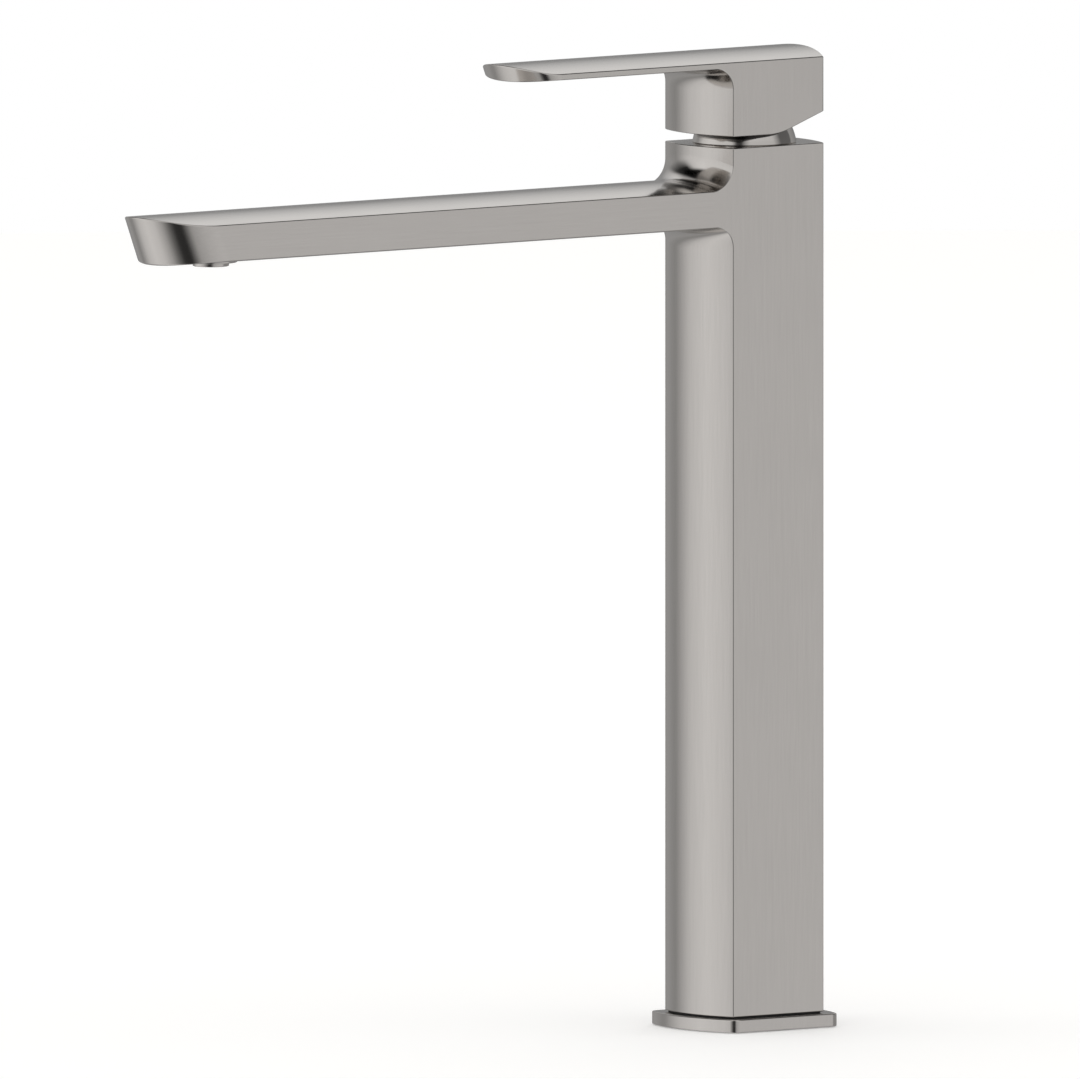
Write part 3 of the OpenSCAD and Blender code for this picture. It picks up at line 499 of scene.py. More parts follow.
# Metals inside. Brass is turned and left raw: yellow, with lathe rings and a brown tarnish in patches. Stainless
# steel is turned as well, greyer and smoother. Copper tube is drawn: lines along the tube, and darker patches.
# Lathe rings are drawn 0.5 mm apart, where real ones are about 0.1 mm.
metalForms = {
    "turnedBrass": {"clean": "#D9B66A", "worn": "#A98443", "rough": (0.24, 0.42), "lines": (2.0, 2.0, 0.5)},
    "turnedSteel": {"clean": "#C9C8C5", "worn": "#A5A4A2", "rough": (0.18, 0.32), "lines": (2.0, 2.0, 0.5)},
    "drawnCopper": {"clean": "#D8906B", "worn": "#9C5A40", "rough": (0.22, 0.40), "lines": (0.4, 0.4, 25.0)},
}
metalLook = {"toneSpan": (0.36, 0.58), "roughSpan": (0.35, 0.65), "patch": 7.0, "lineShare": 0.35,
             "bumpStrength": 0.2, "lineDepth": 0.02}


# Colour and roughness = noise in patches plus a share of the tool lines; bump = the tool lines
def plainMetal(name):
    f = {**metalLook, **metalForms[name]}
    material, tree, shader = newMaterial(name)
    source = addNode(tree, "TexCoord").outputs["Object"]
    scale = tuple(1 / (pitch * mm) for pitch in f["lines"])
    mapping = addNode(tree, "Mapping", {"Scale": scale}, {"Vector": source})
    lines = addNode(tree, "TexNoise", {"Scale": 1.0, "Detail": 3.0, "Roughness": 0.6}, {"Vector": mapping.outputs[0]})
    patches = addNode(tree, "TexNoise", {"Scale": 1 / (f["patch"] * mm), "Detail": 5.0, "Roughness": 0.65},
                      {"Vector": source})
    both = addNode(tree, "Mix", {0: f["lineShare"]}, {2: patches.outputs["Fac"], 3: lines.outputs["Fac"]})
    tone = addNode(tree, "ValToRGB", links={"Fac": both.outputs[0]},
                   stops=list(zip(f["toneSpan"], (linear(f["worn"]), linear(f["clean"])))))
    rough = addNode(tree, "MapRange", {"From Min": f["roughSpan"][0], "From Max": f["roughSpan"][1],
                                       "To Min": f["rough"][1], "To Max": f["rough"][0]}, {"Value": both.outputs[0]})
    bump = addNode(tree, "Bump", {"Strength": f["bumpStrength"], "Distance": f["lineDepth"] * mm},
                   {"Height": lines.outputs["Fac"]})
    finishShader(tree, shader, tone.outputs["Color"], rough.outputs["Result"], bump.outputs["Normal"], 1.0)
    return material


# Rubber, plastics and ceramic, all moulded or pressed. Rubber is matt with a grey bloom. Acetal, nylon and the
# blue slider have the dull gloss and faint flow clouds of a moulding. Alumina is lapped: smooth, with pale specks.
# The grain is the size of one cloud or speck, and the depth that of the bump, both in millimetres.
mouldedForms = {
    "mouldedRubber": {"colours": ("#1A1A1B", "#2B2B2C"), "rough": (0.62, 0.86), "grain": 1.2, "depth": 0.03},
    "whiteAcetal": {"colours": ("#DCDAD3", "#E9E7E1"), "rough": (0.32, 0.46), "grain": 5.0, "depth": 0.02},
    "blueAcetal": {"colours": ("#245C9B", "#2F6EB2"), "rough": (0.30, 0.44), "grain": 4.0, "depth": 0.02},
    "blackNylon": {"colours": ("#161617", "#222224"), "rough": (0.38, 0.55), "grain": 2.5, "depth": 0.02},
    "lappedAlumina": {"colours": ("#E0DDD6", "#EFEDE8"), "rough": (0.10, 0.22), "grain": 0.6, "depth": 0.004},
}
mouldedLook = {"toneSpan": (0.38, 0.62), "roughSpan": (0.35, 0.65), "bumpStrength": 0.25}


# Colour and roughness follow one noise, from its low to its high value; bump follows one four times finer
def moulded(name):
    f = {**mouldedLook, **mouldedForms[name]}
    material, tree, shader = newMaterial(name)
    source = addNode(tree, "TexCoord").outputs["Object"]
    cloud = addNode(tree, "TexNoise", {"Scale": 1 / (f["grain"] * mm), "Detail": 5.0, "Roughness": 0.6},
                    {"Vector": source})
    grit = addNode(tree, "TexNoise", {"Scale": 4 / (f["grain"] * mm), "Detail": 3.0, "Roughness": 0.7},
                   {"Vector": source})
    tone = addNode(tree, "ValToRGB", links={"Fac": cloud.outputs["Fac"]},
                   stops=list(zip(f["toneSpan"], map(linear, f["colours"]))))
    rough = addNode(tree, "MapRange", {"From Min": f["roughSpan"][0], "From Max": f["roughSpan"][1],
                                       "To Min": f["rough"][0], "To Max": f["rough"][1]},
                    {"Value": cloud.outputs["Fac"]})
    bump = addNode(tree, "Bump", {"Strength": f["bumpStrength"], "Distance": f["depth"] * mm},
                   {"Height": grit.outputs["Fac"]})
    finishShader(tree, shader, tone.outputs["Color"], rough.outputs["Result"], bump.outputs["Normal"], 0.0)
    return material


nickelBrushed = brushedNickel("brushedNickel")
nickelHandle = brushedNickel("brushedNickelHandle", True)
nickelDome = turnedNickel("turnedNickelDome", axis)
nickelAerator = turnedNickel("turnedNickelAerator", outlet)
finishes = {name: plainMetal(name) for name in metalForms}
finishes.update({name: moulded(name) for name in mouldedForms})

# Which finish each carried-over piece of the part gets
finishOf = {
    "turnedBrass": ["foot_insert", "valve_seat", "stem", "retaining_nut"],
    "turnedSteel": ["foot_screws", "turret", "stem_pin", "handle_screw"],
    "drawnCopper": ["hot_riser_tube", "cold_riser_tube"],
    "mouldedRubber": ["base_gasket", "foot_seal", "riser_seals", "valve_seat_seals", "port_seals", "turret_seal",
                      "collar_ring", "aerator_seal"],
    "whiteAcetal": ["cartridge_base", "cartridge_housing", "aerator_insert", "aerator_screen"],
    "blueAcetal": ["disc_carrier"],
    "blackNylon": ["stem_bush"],
    "lappedAlumina": ["fixed_disc", "moving_disc"],
}
for finish, names in finishOf.items():
    for nodeName in names:
        for place in frame["nodes"][nodeName].material_slots:
            place.material = finishes[finish]
print("materials ready")

# Body: column and spout in one. The upper skin runs down the column's front, through the fillet and out along
# the spout; the lower skin runs up from the foot and out under it. The bores are (radius, level) from outside in.
bodyForm = {
    "columns": 37, "top": 298.8, "bottom": 4.8, "rim": 0.35,
    "upper": {"start": 298.45, "edge": 284.6, "rise": 2.7, "fillet": 8.5, "station": -212.0, "reach": 258.6,
              "crest": 287.3, "tipRound": 0.45},
    "lower": {"start": 5.15, "edge": 272.3, "rise": 1.6, "fillet": 7.0, "station": -212.0, "reach": 258.6,
              "crest": 287.3, "tipRound": 0.9},
    "hole": ((9.0, 278.5), (6.6, 278.5), (6.6, 280.0)),
    "well": ((14.0, 291.0), (12.6, 291.0), (12.6, 252.0)), "foot": ((15.5, 28.2),),
}


# Rounded edge between the column's sides and its flat end, and the line where it meets the end
def closeColumn(path, normals, up, rim):
    arcs = roundEdge(path + [0, 0, up * rim], np.array([0.0, 0.0, up]), normals, rim)
    return closedStrip(arcs), arcs[0][:, 0]


# Flat side: one polygon along the outer lines of all the skins, from the column's top round to its back
def sidePolygon(side, upper, lower, wall, back, outlines):
    topPath, bottomPath = outlines
    strip, column = (1, -1) if side > 0 else (0, 0)
    keep = lambda path: path[np.abs(path[:, 0] - side * half) < tiny]
    top, bottom = keep(topPath), keep(bottomPath)
    top, bottom = top[np.argsort(-top[:, 1])], bottom[np.argsort(bottom[:, 1])]
    parts = [top, upper["strips"][strip][0][1:, -1], wall[0][1:-1, column],
             lower["strips"][strip][0][::-1, -1], bottom[1:], back["strips"][strip][0][1:-1, -1]]
    return np.concatenate(parts), np.array([side, 0.0, 0.0])


# Skins of the front, spout, tip and back, their edges, the two flat sides, and the bores that can be looked into
def makeBody():
    f = bodyForm
    outline = circleTip(f["columns"])
    upper = bentSkin(f["upper"], 1.0, outline)
    lower = bentSkin(f["lower"], -1.0, outline)
    back = backSkin(f["bottom"] + f["rim"], f["top"] - f["rim"], f["columns"])
    wall = tipWall(upper["arcs"], lower["arcs"])
    topPath, topNormals = planOutline(upper, 0, back, -1)
    lowPath, lowNormals = planOutline(lower, 0, back, 0)
    topStrip, topLoop = closeColumn(topPath, topNormals, 1.0, f["rim"])
    lowStrip, lowLoop = closeColumn(lowPath, lowNormals, -1.0, f["rim"])

    # belly of the spout round the aerator's hole
    rise = f["lower"]["rise"]

    def belly(x, y):
        z = f["lower"]["edge"] - crown(x, rise)[0]
        return np.stack([x, y, z], -1), armNormal(x, rise, -1.0)

    lastRow, tip = lower["grid"][0][-1], lower["tip"][0]
    around = np.concatenate([lastRow, tip[:-1, -1], tip[-1][::-1], tip[:-1, 0][::-1]])
    ring = ringPatch(around, outlet, f["hole"][0][0], belly, steps=8)
    hole, holeEnd = bore(ring[0][0][:-1], outlet, 1.0, f["hole"])
    topRing = ringPatch(topLoop, axis, f["well"][0][0], flatSurface(f["top"], 1.0), steps=3)
    well, wellEnd = bore(topRing[0][0][:-1], axis, -1.0, f["well"])
    lowRing = ringPatch(lowLoop, axis, f["foot"][0][0], flatSurface(f["bottom"], -1.0), steps=3)
    foot, footEnd = bore(lowRing[0][0][:-1], axis, 1.0, f["foot"])
    patches = [upper["grid"], upper["tip"], lower["grid"], upper["arcs"], lower["arcs"], wall, back["grid"],
               topStrip, lowStrip, ring, topRing, lowRing] + upper["strips"] + lower["strips"] + back["strips"]
    patches += hole + well + foot + [seam(upper["grid"], upper["tip"])]
    caps = [sidePolygon(s, upper, lower, wall, back, (topPath, lowPath)) for s in (-1.0, 1.0)]
    caps += [(holeEnd, (0.0, 0.0, -1.0)), (wellEnd, (0.0, 0.0, 1.0)), (footEnd, (0.0, 0.0, -1.0))]
    return buildMesh("bodySkin", patches, caps)


addPiece("bodySkin", makeBody(), nickelBrushed, "mixer", ["body"])

# Handle: block and lever in one, with a ball-shaped hollow underneath. The under side of the block is flat in front
# and slopes up behind, with a large round between.
handleForm = {
    "low": 302.7, "rim": 0.35, "backCorner": 0.6, "backInset": 0.4, "slope": math.radians(20), "slopeStart": 0.7,
    "slopeRound": 26.0, "hollow": 18.1, "sideRows": 14, "tipRadius": 28.5, "tipCorner": 7.6, "tipColumns": (12, 25),
    "upper": {"edge": 327.9, "rise": 2.6, "station": -62.0, "reach": 104.8, "crest": 330.5, "tipRound": 0.45},
    "lower": {"start": 303.05, "edge": 325.9, "rise": 1.1, "fillet": 7.0, "station": -62.0, "reach": 104.8,
              "crest": 330.5, "tipRound": 0.45},
    "plug": (0.0, 319.5), "plugHole": 3.2, "plugFloor": 20.3, "wallSteps": 8, "ballSteps": 14, "rimTurns": 60,
}


# Lever tip in plan, as x and distance behind the tip: a wide arc in front between two corner arcs, each of them its
# centre + radius (sin a, -cos a)
def leverTip():
    front, corner = handleForm["tipRadius"], handleForm["tipCorner"]
    cornerCount, frontCount = handleForm["tipColumns"]
    reach = half - corner
    turn = math.degrees(math.asin(reach / (front - corner)))
    middle = front - math.sqrt((front - corner) ** 2 - reach ** 2)
    a = np.radians(np.concatenate([np.linspace(-90, -turn, cornerCount), np.linspace(-turn, turn, frontCount)[1:-1],
                                   np.linspace(turn, 90, cornerCount)]))
    isCorner = np.abs(np.degrees(a)) > turn - tiny
    radius = np.where(isCorner, corner, front)
    centreX = np.where(isCorner, np.sign(a) * reach, 0.0)
    centreD = np.where(isCorner, middle, front)
    return centreX + radius * np.sin(a), centreD - radius * np.cos(a), np.sin(a), -np.cos(a)


# Level of the under side: flat, then a round of the given radius, then the slope; and the angle of its normal,
# whose sine is the way along the round over its radius
def underLevel(y):
    f = handleForm
    first = f["slopeStart"] - f["slopeRound"] * math.tan(f["slope"] / 2)
    turn = np.arcsin(np.clip((y - first) / f["slopeRound"], 0, math.sin(f["slope"])))
    last = first + f["slopeRound"] * math.sin(f["slope"])
    z = f["low"] + f["slopeRound"] * (1 - np.cos(turn)) + np.maximum(y - last, 0) * math.tan(f["slope"])
    return z, turn


# The under side as a surface: z by the level, and a normal that turns from straight down towards the back
def underSurface(x, y):
    z, turn = underLevel(y)
    return np.stack([x, y, z], -1), np.stack([0 * x, np.sin(turn), -np.cos(turn)], -1)


# Rim of the hollow: where a ray in plan meets both the under side and the ball, so radius = root of (ball radius
# squared - height under the ball's centre squared), found by repeating it until it stands still
def hollowRim(ray):
    ball = handleForm["hollow"]
    rim = np.full(len(ray), ball)
    for _ in range(handleForm["rimTurns"]):
        rim = np.sqrt(ball ** 2 - (underLevel(rim * ray[:, 1])[0] - pivotZ) ** 2)
    return rim


# Back of the block in plan, from its left corner round to its right one: the crown between two round corners
def blockBack(count):
    corners = []
    for side in (-1.0, 1.0):
        edge, normal = backSurface(np.array([side * half]), np.zeros(1))
        corners.append(roundEdge(edge, normal, np.array([side, 0.0, 0.0]), handleForm["backCorner"]))
    x = np.linspace(-1, 1, count)[1:-1] * (half - handleForm["backInset"])
    inner = backSurface(x, np.zeros(count - 2))
    return tuple(np.concatenate([corners[0][k][0][::-1], inner[k], corners[1][k][0]]) for k in (0, 1))


# Wall round the back: its rounded edges above and below, and rows at equal shares of the way between them
def blockWall(path, normals):
    f, up = handleForm, handleForm["upper"]
    topEdge = path + 0.0
    topEdge[:, 2] = up["edge"] + crown(path[:, 0], up["rise"])[0]
    topArcs = roundEdge(topEdge, armNormal(path[:, 0], up["rise"], 1.0), normals, cornerRadius)
    lowArcs = roundEdge(*underSurface(path[:, 0], path[:, 1]), normals, f["rim"])
    share = np.linspace(0, 1, f["wallSteps"] + 1)[:, None, None]
    points = (1 - share) * topArcs[0][:, -1] + share * lowArcs[0][:, -1]
    return topArcs, lowArcs, points, np.broadcast_to(normals, points.shape)


# Crowned part of that wall, between its columns first and last: rings round the plug's hole, the hole and its floor
def plugPatches(wallPoints, first, last):
    f = handleForm
    around = np.concatenate([wallPoints[0, first:last + 1], wallPoints[1:-1, last],
                             wallPoints[-1, first:last + 1][::-1], wallPoints[1:-1, first][::-1]])
    ring = ringPatch(around, f["plug"], f["plugHole"], backSurface, across=(0, 2))
    hole = ring[0][0][:-1]
    floor = hole * [1, 0, 1] + [0, f["plugFloor"], 0]
    inward = -unit((hole - [f["plug"][0], 0, f["plug"][1]]) * [1, 0, 1])
    return [ring, closedWall(hole, floor, inward)], floor


# Top, from the back to the last straight row: y = the side's y + the bow of the back times a weight, which is 1
# round the corners and falls to 0 along the side
def blockTop(topArcs, first, last):
    f, up = handleForm, handleForm["upper"]
    sideY = np.linspace(topArcs[0][-1, -1, 1], up["station"], f["sideRows"] + 1)[:, None]

    def sideEdge(x):
        points = np.stack([x + 0 * sideY, sideY, np.full_like(sideY, up["edge"])], -1)
        return points, np.broadcast_to(armNormal(x, up["rise"], 1.0), points.shape)

    strips = sideStrips(sideEdge, cornerRadius)
    corner = topArcs[0][:, 0]
    backRow = corner[first:last + 1]
    leftSide = np.concatenate([corner[:first + 1][::-1], strips[0][0][1:, 0]])
    rightSide = np.concatenate([corner[last:], strips[1][0][1:, 0]])
    weight = np.concatenate([np.ones(edgeSteps + 1), np.linspace(1, 0, f["sideRows"] + 1)[1:]])[:, None]
    x = rightSide[:, :1] * np.linspace(-1, 1, len(backRow))
    y = rightSide[:, 1:2] + weight * (backRow[:, 1] - backRow[-1, 1])
    top = np.stack([x, y, up["edge"] + crown(x, up["rise"])[0]], -1)
    top[0], top[:, 0], top[:, -1] = backRow, leftSide, rightSide
    return (top, armNormal(top[..., 0], up["rise"], 1.0)), strips


# Under side: a rounded outline, rings in to the rim of the hollow, and the hollow: centre + radius (sin p cos a,
# sin p sin a, cos p). Also gives the lines along its left and right side.
def blockUnder(lower, wallLow, lowArcs, backNormals):
    f = handleForm
    (front, left, right), (frontNormals, leftNormals, rightNormals) = (skinRow(lower, 0, k) for k in (0, 1))
    rightLine, leftLine = sideLines(right[-1], wallLow[-1], wallLow[0], left[-1])
    loop = np.concatenate([front, right[1:], rightLine, wallLow[::-1], leftLine, left[::-1][:-1]])
    outward = np.tile([1.0, 0.0, 0.0], (sideSteps - 1, 1))
    plan = np.concatenate([frontNormals, rightNormals[1:], outward, backNormals[::-1], -outward,
                           leftNormals[::-1][:-1]])
    under = roundEdge(*underSurface(loop[:, 0], loop[:, 1]), plan, f["rim"])
    under[0][:len(front), -1] = front
    backFrom = len(front) + edgeSteps + sideSteps - 1
    backTo = backFrom + len(backNormals)
    under[0][backFrom:backTo] = lowArcs[0][::-1]
    ray = unit(under[0][:, 0, :2])
    rim = hollowRim(ray)
    ring = ringPatch(under[0][:, 0], axis, rim, underSurface, steps=4)
    polar = (1 - np.linspace(0, 1, f["ballSteps"] + 1)[:, None]) * np.arcsin(rim / f["hollow"])
    ballNormals = np.stack([np.sin(polar) * ray[:, 0], np.sin(polar) * ray[:, 1], np.cos(polar)], -1)
    ball = ballNormals * f["hollow"] + [0, 0, pivotZ]
    ball[0] = ring[0][0][:-1]
    rightSide = under[0][len(front) + edgeSteps - 1:backFrom + 1, -1]
    leftSide = under[0][backTo - 1:len(loop) - edgeSteps + 1, -1][::-1]
    return [closedStrip(under), ring, (closeRows(ball), closeRows(-ballNormals))], (leftSide, rightSide)


# Skins of the lever and the block, their edges, the hollow, the hole for the plug, and the two flat sides
def makeHandle():
    up = handleForm["upper"]
    outline = leverTip()
    lower = bentSkin(handleForm["lower"], -1.0, outline)
    arcs = tipEdge(outline, up, 1.0)
    *tip, tipStrips = tipRows(up, 1.0, arcs[0][:, 0], outline)
    wall = tipWall(arcs, lower["arcs"])
    count = len(outline[0])
    first, last = edgeSteps, edgeSteps + count - 1
    path, pathNormals = blockBack(count)
    topArcs, lowArcs, wallPoints, wallNormals = blockWall(path, pathNormals)
    plug, floor = plugPatches(wallPoints, first, last)
    top, strips = blockTop(topArcs, first, last)
    under, underSides = blockUnder(lower, wallPoints[-1], lowArcs, pathNormals)
    caps = []
    for side, k, column in ((-1.0, 0, 0), (1.0, 1, -1)):
        line = [strips[k][0][:, -1], tipStrips[k][0][:, -1], wall[0][1:-1, column],
                lower["strips"][k][0][::-1, -1], underSides[k][1:], wallPoints[::-1, column][1:-1]]
        caps.append((np.concatenate(line), np.array([side, 0.0, 0.0])))
    caps.append((floor, np.array([0.0, 1.0, 0.0])))
    patches = [lower["grid"], lower["tip"], lower["arcs"], arcs, wall, tip, top, topArcs,
               (wallPoints[:, :first + 1], wallNormals[:, :first + 1]), (wallPoints[:, last:], wallNormals[:, last:])]
    patches += plug + under + [seam(top, tip), seam(lower["grid"], lower["tip"])]
    patches += strips + tipStrips + lower["strips"] + [seam(a, b) for a, b in zip(strips, tipStrips)]
    return buildMesh("handleSkin", patches, caps)


addPiece("handleSkin", makeHandle(), nickelHandle, "handle", ["handle"])

# Dome collar: a ball zone with an opening at its top, hollow, on a short bore round the nut's neck
domeForm = {"radius": 17.7, "inner": 16.2, "opening": 11.0, "foot": 298.8, "boreTop": 302.0, "bore": 13.05,
            "bevelHigh": 0.25, "bevelWide": 0.2, "bevelMiddle": (0.05, 0.1), "lipWide": 0.3, "lipDrop": 0.1,
            "lipMiddle": (0.05, 0.12), "columns": 96}


# Profile turned about the column's axis: foot, bevel, outer ball, lip, inner ball, shelf and bore
def makeDome():
    f = domeForm
    low = f["foot"] - pivotZ
    r, q = f["radius"], f["inner"]
    startAngle = math.degrees(math.asin((low + f["bevelHigh"]) / r))
    endAngle = math.degrees(math.acos((f["opening"] + f["lipWide"]) / r))
    innerStart = math.degrees(math.acos(f["opening"] / q))
    innerEnd = math.degrees(math.asin((f["boreTop"] - pivotZ) / q))
    outer = arc((0, pivotZ), r, startAngle, endAngle, steps=40)
    inner = arc((0, pivotZ), q, innerStart, innerEnd, steps=20)
    edge, lipZ = outer[0][0], outer[-1][1]
    bevelMiddle = (edge - f["bevelMiddle"][0], f["foot"] + f["bevelMiddle"][1])
    lipMiddle = (f["opening"] + f["lipMiddle"][0], lipZ + f["lipMiddle"][1])
    foot = [(f["bore"], f["foot"]), (edge - f["bevelWide"], f["foot"])]
    bevel = [foot[1], bevelMiddle, tuple(outer[0])]
    lip = [tuple(outer[-1]), lipMiddle, (f["opening"], lipZ - f["lipDrop"])]
    wall = [lip[2], tuple(inner[0])]
    shelf = [tuple(inner[-1]), (f["bore"], f["boreTop"])]
    hole = [shelf[1], foot[0]]
    profile = [foot, bevel, outer, lip, wall, inner, shelf, hole]
    return buildMesh("domeSkin", spin(profile, axis, f["columns"]), [])


addPiece("domeSkin", makeDome(), nickelDome, "mixer", ["dome_collar"])

# Flange: a plate with crowned ends, round corners and a round bore. The groove below, given as its outer radius,
# inner radius and depth, holds the gasket.
flangeForm = {"halfWidth": 23.65, "sideHalf": 21.6, "crown": 5.4, "corner": 3.6, "height": 4.4, "bore": 15.5,
              "groove": (21.7, 18.25, 1.65), "topRound": 0.45, "footRound": 0.3, "arcSteps": (8, 40)}


# Plan of the flange: corner arc, end arc, corner arc and side, then the same turned half round
def flangeOutline():
    f = flangeForm
    radius = (f["halfWidth"] ** 2 + f["crown"] ** 2) / (2 * f["crown"])
    centre = f["sideHalf"] + f["crown"] - radius
    reach = f["halfWidth"] - f["corner"]
    cornerY = centre + math.sqrt((radius - f["corner"]) ** 2 - reach ** 2)
    turn = math.degrees(math.asin(reach / (radius - f["corner"])))
    few, many = f["arcSteps"]
    parts, normals = [], []
    for flip in (1.0, -1.0):
        for c, r, start, end, steps in (((reach, cornerY), f["corner"], 0, 90 - turn, few),
                                        ((0.0, centre), radius, 90 - turn, 90 + turn, many),
                                        ((-reach, cornerY), f["corner"], 90 + turn, 180, few)):
            a = np.radians(np.linspace(start, end, steps + 1))[:-1 if end < 180 else None]
            n = np.column_stack([np.cos(a), np.sin(a)])
            parts.append(flip * (np.array(c) + r * n))
            normals.append(flip * n)
        along = np.linspace(cornerY, -cornerY, sideSteps + 2)[1:-1]
        parts.append(flip * np.column_stack([np.full(sideSteps, -f["halfWidth"]), along]))
        normals.append(flip * np.tile([-1.0, 0.0], (sideSteps, 1)))
    return np.concatenate(parts), np.concatenate(normals)


# Rounded edges above and below the plan, rings in to the bore, and the groove's walls
def makeFlange():
    f = flangeForm
    plan, planNormals = flangeOutline()
    zero = np.zeros((len(plan), 1))
    normals = np.column_stack([planNormals, zero])
    top = roundEdge(np.column_stack([plan, zero + f["height"]]), np.array([0, 0, 1.0]), normals, f["topRound"])
    low = roundEdge(np.column_stack([plan, zero]), np.array([0, 0, -1.0]), normals, f["footRound"])
    patches = [closedStrip(top), closedStrip(low), closedWall(top[0][:, -1], low[0][:, -1], normals)]
    upper = ringPatch(top[0][:, 0], axis, f["bore"], flatSurface(f["height"], 1.0), steps=4)
    outer, inner, depth = f["groove"]
    below = ringPatch(low[0][:, 0], axis, outer, flatSurface(0.0, -1.0), steps=2)
    ray = unit(below[0][0][:-1, :2])
    ring = lambda radius, level: np.column_stack([radius * ray, np.full(len(ray), level)])
    out, down = np.column_stack([ray, zero]), np.tile([0.0, 0.0, -1.0], (len(ray), 1))
    boreLow = ring(f["bore"], 0.0)
    for a, b, n in ((below[0][0][:-1], ring(outer, depth), -out), (ring(outer, depth), ring(inner, depth), down),
                    (ring(inner, depth), ring(inner, 0.0), out), (ring(inner, 0.0), boreLow, down)):
        patches.append(closedWall(a, b, n))
    boreEdge = upper[0][0][:-1]
    patches.append(closedWall(boreEdge, boreLow, -np.column_stack([unit(boreEdge[:, :2]), zero]), -out))
    return buildMesh("flangeSkin", patches + [upper, below], [])


addPiece("flangeSkin", makeFlange(), nickelBrushed, "mixer", ["base_flange"])

# Aerator: a plain ring with a ball seat, and the nozzle that tilts in it
aeratorForm = {"ringLow": 270.4, "ringTop": 276.9, "ring": 8.95, "mouth": 6.9, "ballZ": 274.4, "seat": 7.28,
               "ball": 7.2, "nozzle": 6.15, "bore": 5.1, "nozzleLow": 269.1, "below": 2.5, "above": 1.2,
               "round": 0.3, "columns": 96}


# Profile turned about the aerator's axis: face, outside, lid, seat of the ball and throat
def makeAeratorRing():
    f = aeratorForm
    e, low, top = f["round"], f["ringLow"], f["ringTop"]
    seatAngle = math.degrees(math.acos(f["mouth"] / f["seat"]))
    face = [(f["mouth"] + e, low), (f["ring"] - e, low)]
    outerRound = arc((f["ring"] - e, low + e), e, -90, 0)
    outside = [(f["ring"], low + e), (f["ring"], top)]
    lid = [(f["ring"], top), (f["seat"], top)]
    inside = [(f["seat"], top), (f["seat"], f["ballZ"])]
    seat = arc((0, f["ballZ"]), f["seat"], 0, -seatAngle, steps=12)
    throat = [tuple(seat[-1]), (f["mouth"], low + e)]
    innerRound = arc((f["mouth"] + e, low + e), e, -180, -90)
    profile = [face, outerRound, outside, lid, inside, seat, throat, innerRound]
    return buildMesh("aeratorRing", spin(profile, outlet, f["columns"]), [])


# Profile turned about the same axis: face, outside, step, ball and bore
def makeNozzle():
    f = aeratorForm
    e, low = f["round"], f["nozzleLow"]
    start = math.degrees(math.asin(-f["below"] / f["ball"]))
    end = math.degrees(math.asin(f["above"] / f["ball"]))
    ball = arc((0, f["ballZ"]), f["ball"], start, end, steps=16)
    face = [(f["bore"] + e, low), (f["nozzle"] - e, low)]
    outerRound = arc((f["nozzle"] - e, low + e), e, -90, 0)
    outside = [(f["nozzle"], low + e), (f["nozzle"], f["ballZ"] - f["below"])]
    step = [outside[1], tuple(ball[0])]
    lid = [tuple(ball[-1]), (f["bore"], f["ballZ"] + f["above"])]
    inside = [lid[1], (f["bore"], low + e)]
    innerRound = arc((f["bore"] + e, low + e), e, -180, -90)
    profile = [face, outerRound, outside, step, ball, lid, inside, innerRound]
    return buildMesh("nozzleSkin", spin(profile, outlet, f["columns"]), [])


addPiece("aeratorRing", makeAeratorRing(), nickelAerator, "mixer", ["aerator_housing"])
addPiece("nozzleSkin", makeNozzle(), nickelAerator, "nozzle", ["aerator_nozzle"])

# Plug over the clamping screw, in the back of the handle
plugForm = {"centre": (0.0, 319.5), "radius": 3.12, "low": 20.5, "face": 22.9, "round": 0.25, "columns": 64}


# A turned disc with a rounded edge, laid over so that its axis points back: (x, y, z) becomes (x, z, -y)
def makePlug():
    f = plugForm
    e = f["round"]
    outline = [[(0.0, f["low"]), (f["radius"], f["low"])], [(f["radius"], f["low"]), (f["radius"], f["face"] - e)],
               arc((f["radius"] - e, f["face"] - e), e, 0, 90), [(f["radius"] - e, f["face"]), (0.0, f["face"])]]
    lay = lambda a: np.stack([a[..., 0], a[..., 2], -a[..., 1]], -1)
    patches = [(lay(points) + [f["centre"][0], 0, f["centre"][1]], lay(normals))
               for points, normals in spin(outline, axis, f["columns"])]
    return buildMesh("plugSkin", patches, [])


addPiece("plugSkin", makePlug(), nickelBrushed, "handle", ["screw_plug"])
print("pieces ready")

# Camera: parallel projection, from the right and in front, a little above. With azimuth a from the spout's
# direction and elevation e, right = (cos a, sin a, 0) and above = (-sin a sin e, cos a sin e, cos e).
aim = {"azimuth": 52.594, "elevation": 5.131, "scale": 0.3639, "right": -0.06885, "up": 0.16351, "away": 1.5}
azimuth, elevation = math.radians(aim["azimuth"]), math.radians(aim["elevation"])
right = np.array([math.cos(azimuth), math.sin(azimuth), 0.0])
above = np.array([-right[1] * math.sin(elevation), right[0] * math.sin(elevation), math.cos(elevation)])
ahead = np.cross(above, right)
camera = bpy.data.cameras.new("camera")
camera.type = "ORTHO"
camera.ortho_scale = aim["scale"]
cameraObject = bpy.data.objects.new("camera", camera)
bpy.context.scene.collection.objects.link(cameraObject)
place = right * aim["right"] + above * aim["up"] - ahead * aim["away"]
turn = Matrix([[*map(float, row)] for row in np.column_stack([right, above, -ahead])]).to_4x4()
cameraObject.matrix_world = Matrix.Translation(place.tolist()) @ turn
bpy.context.scene.camera = cameraObject
bpy.context.scene.view_settings.view_transform = "Standard"


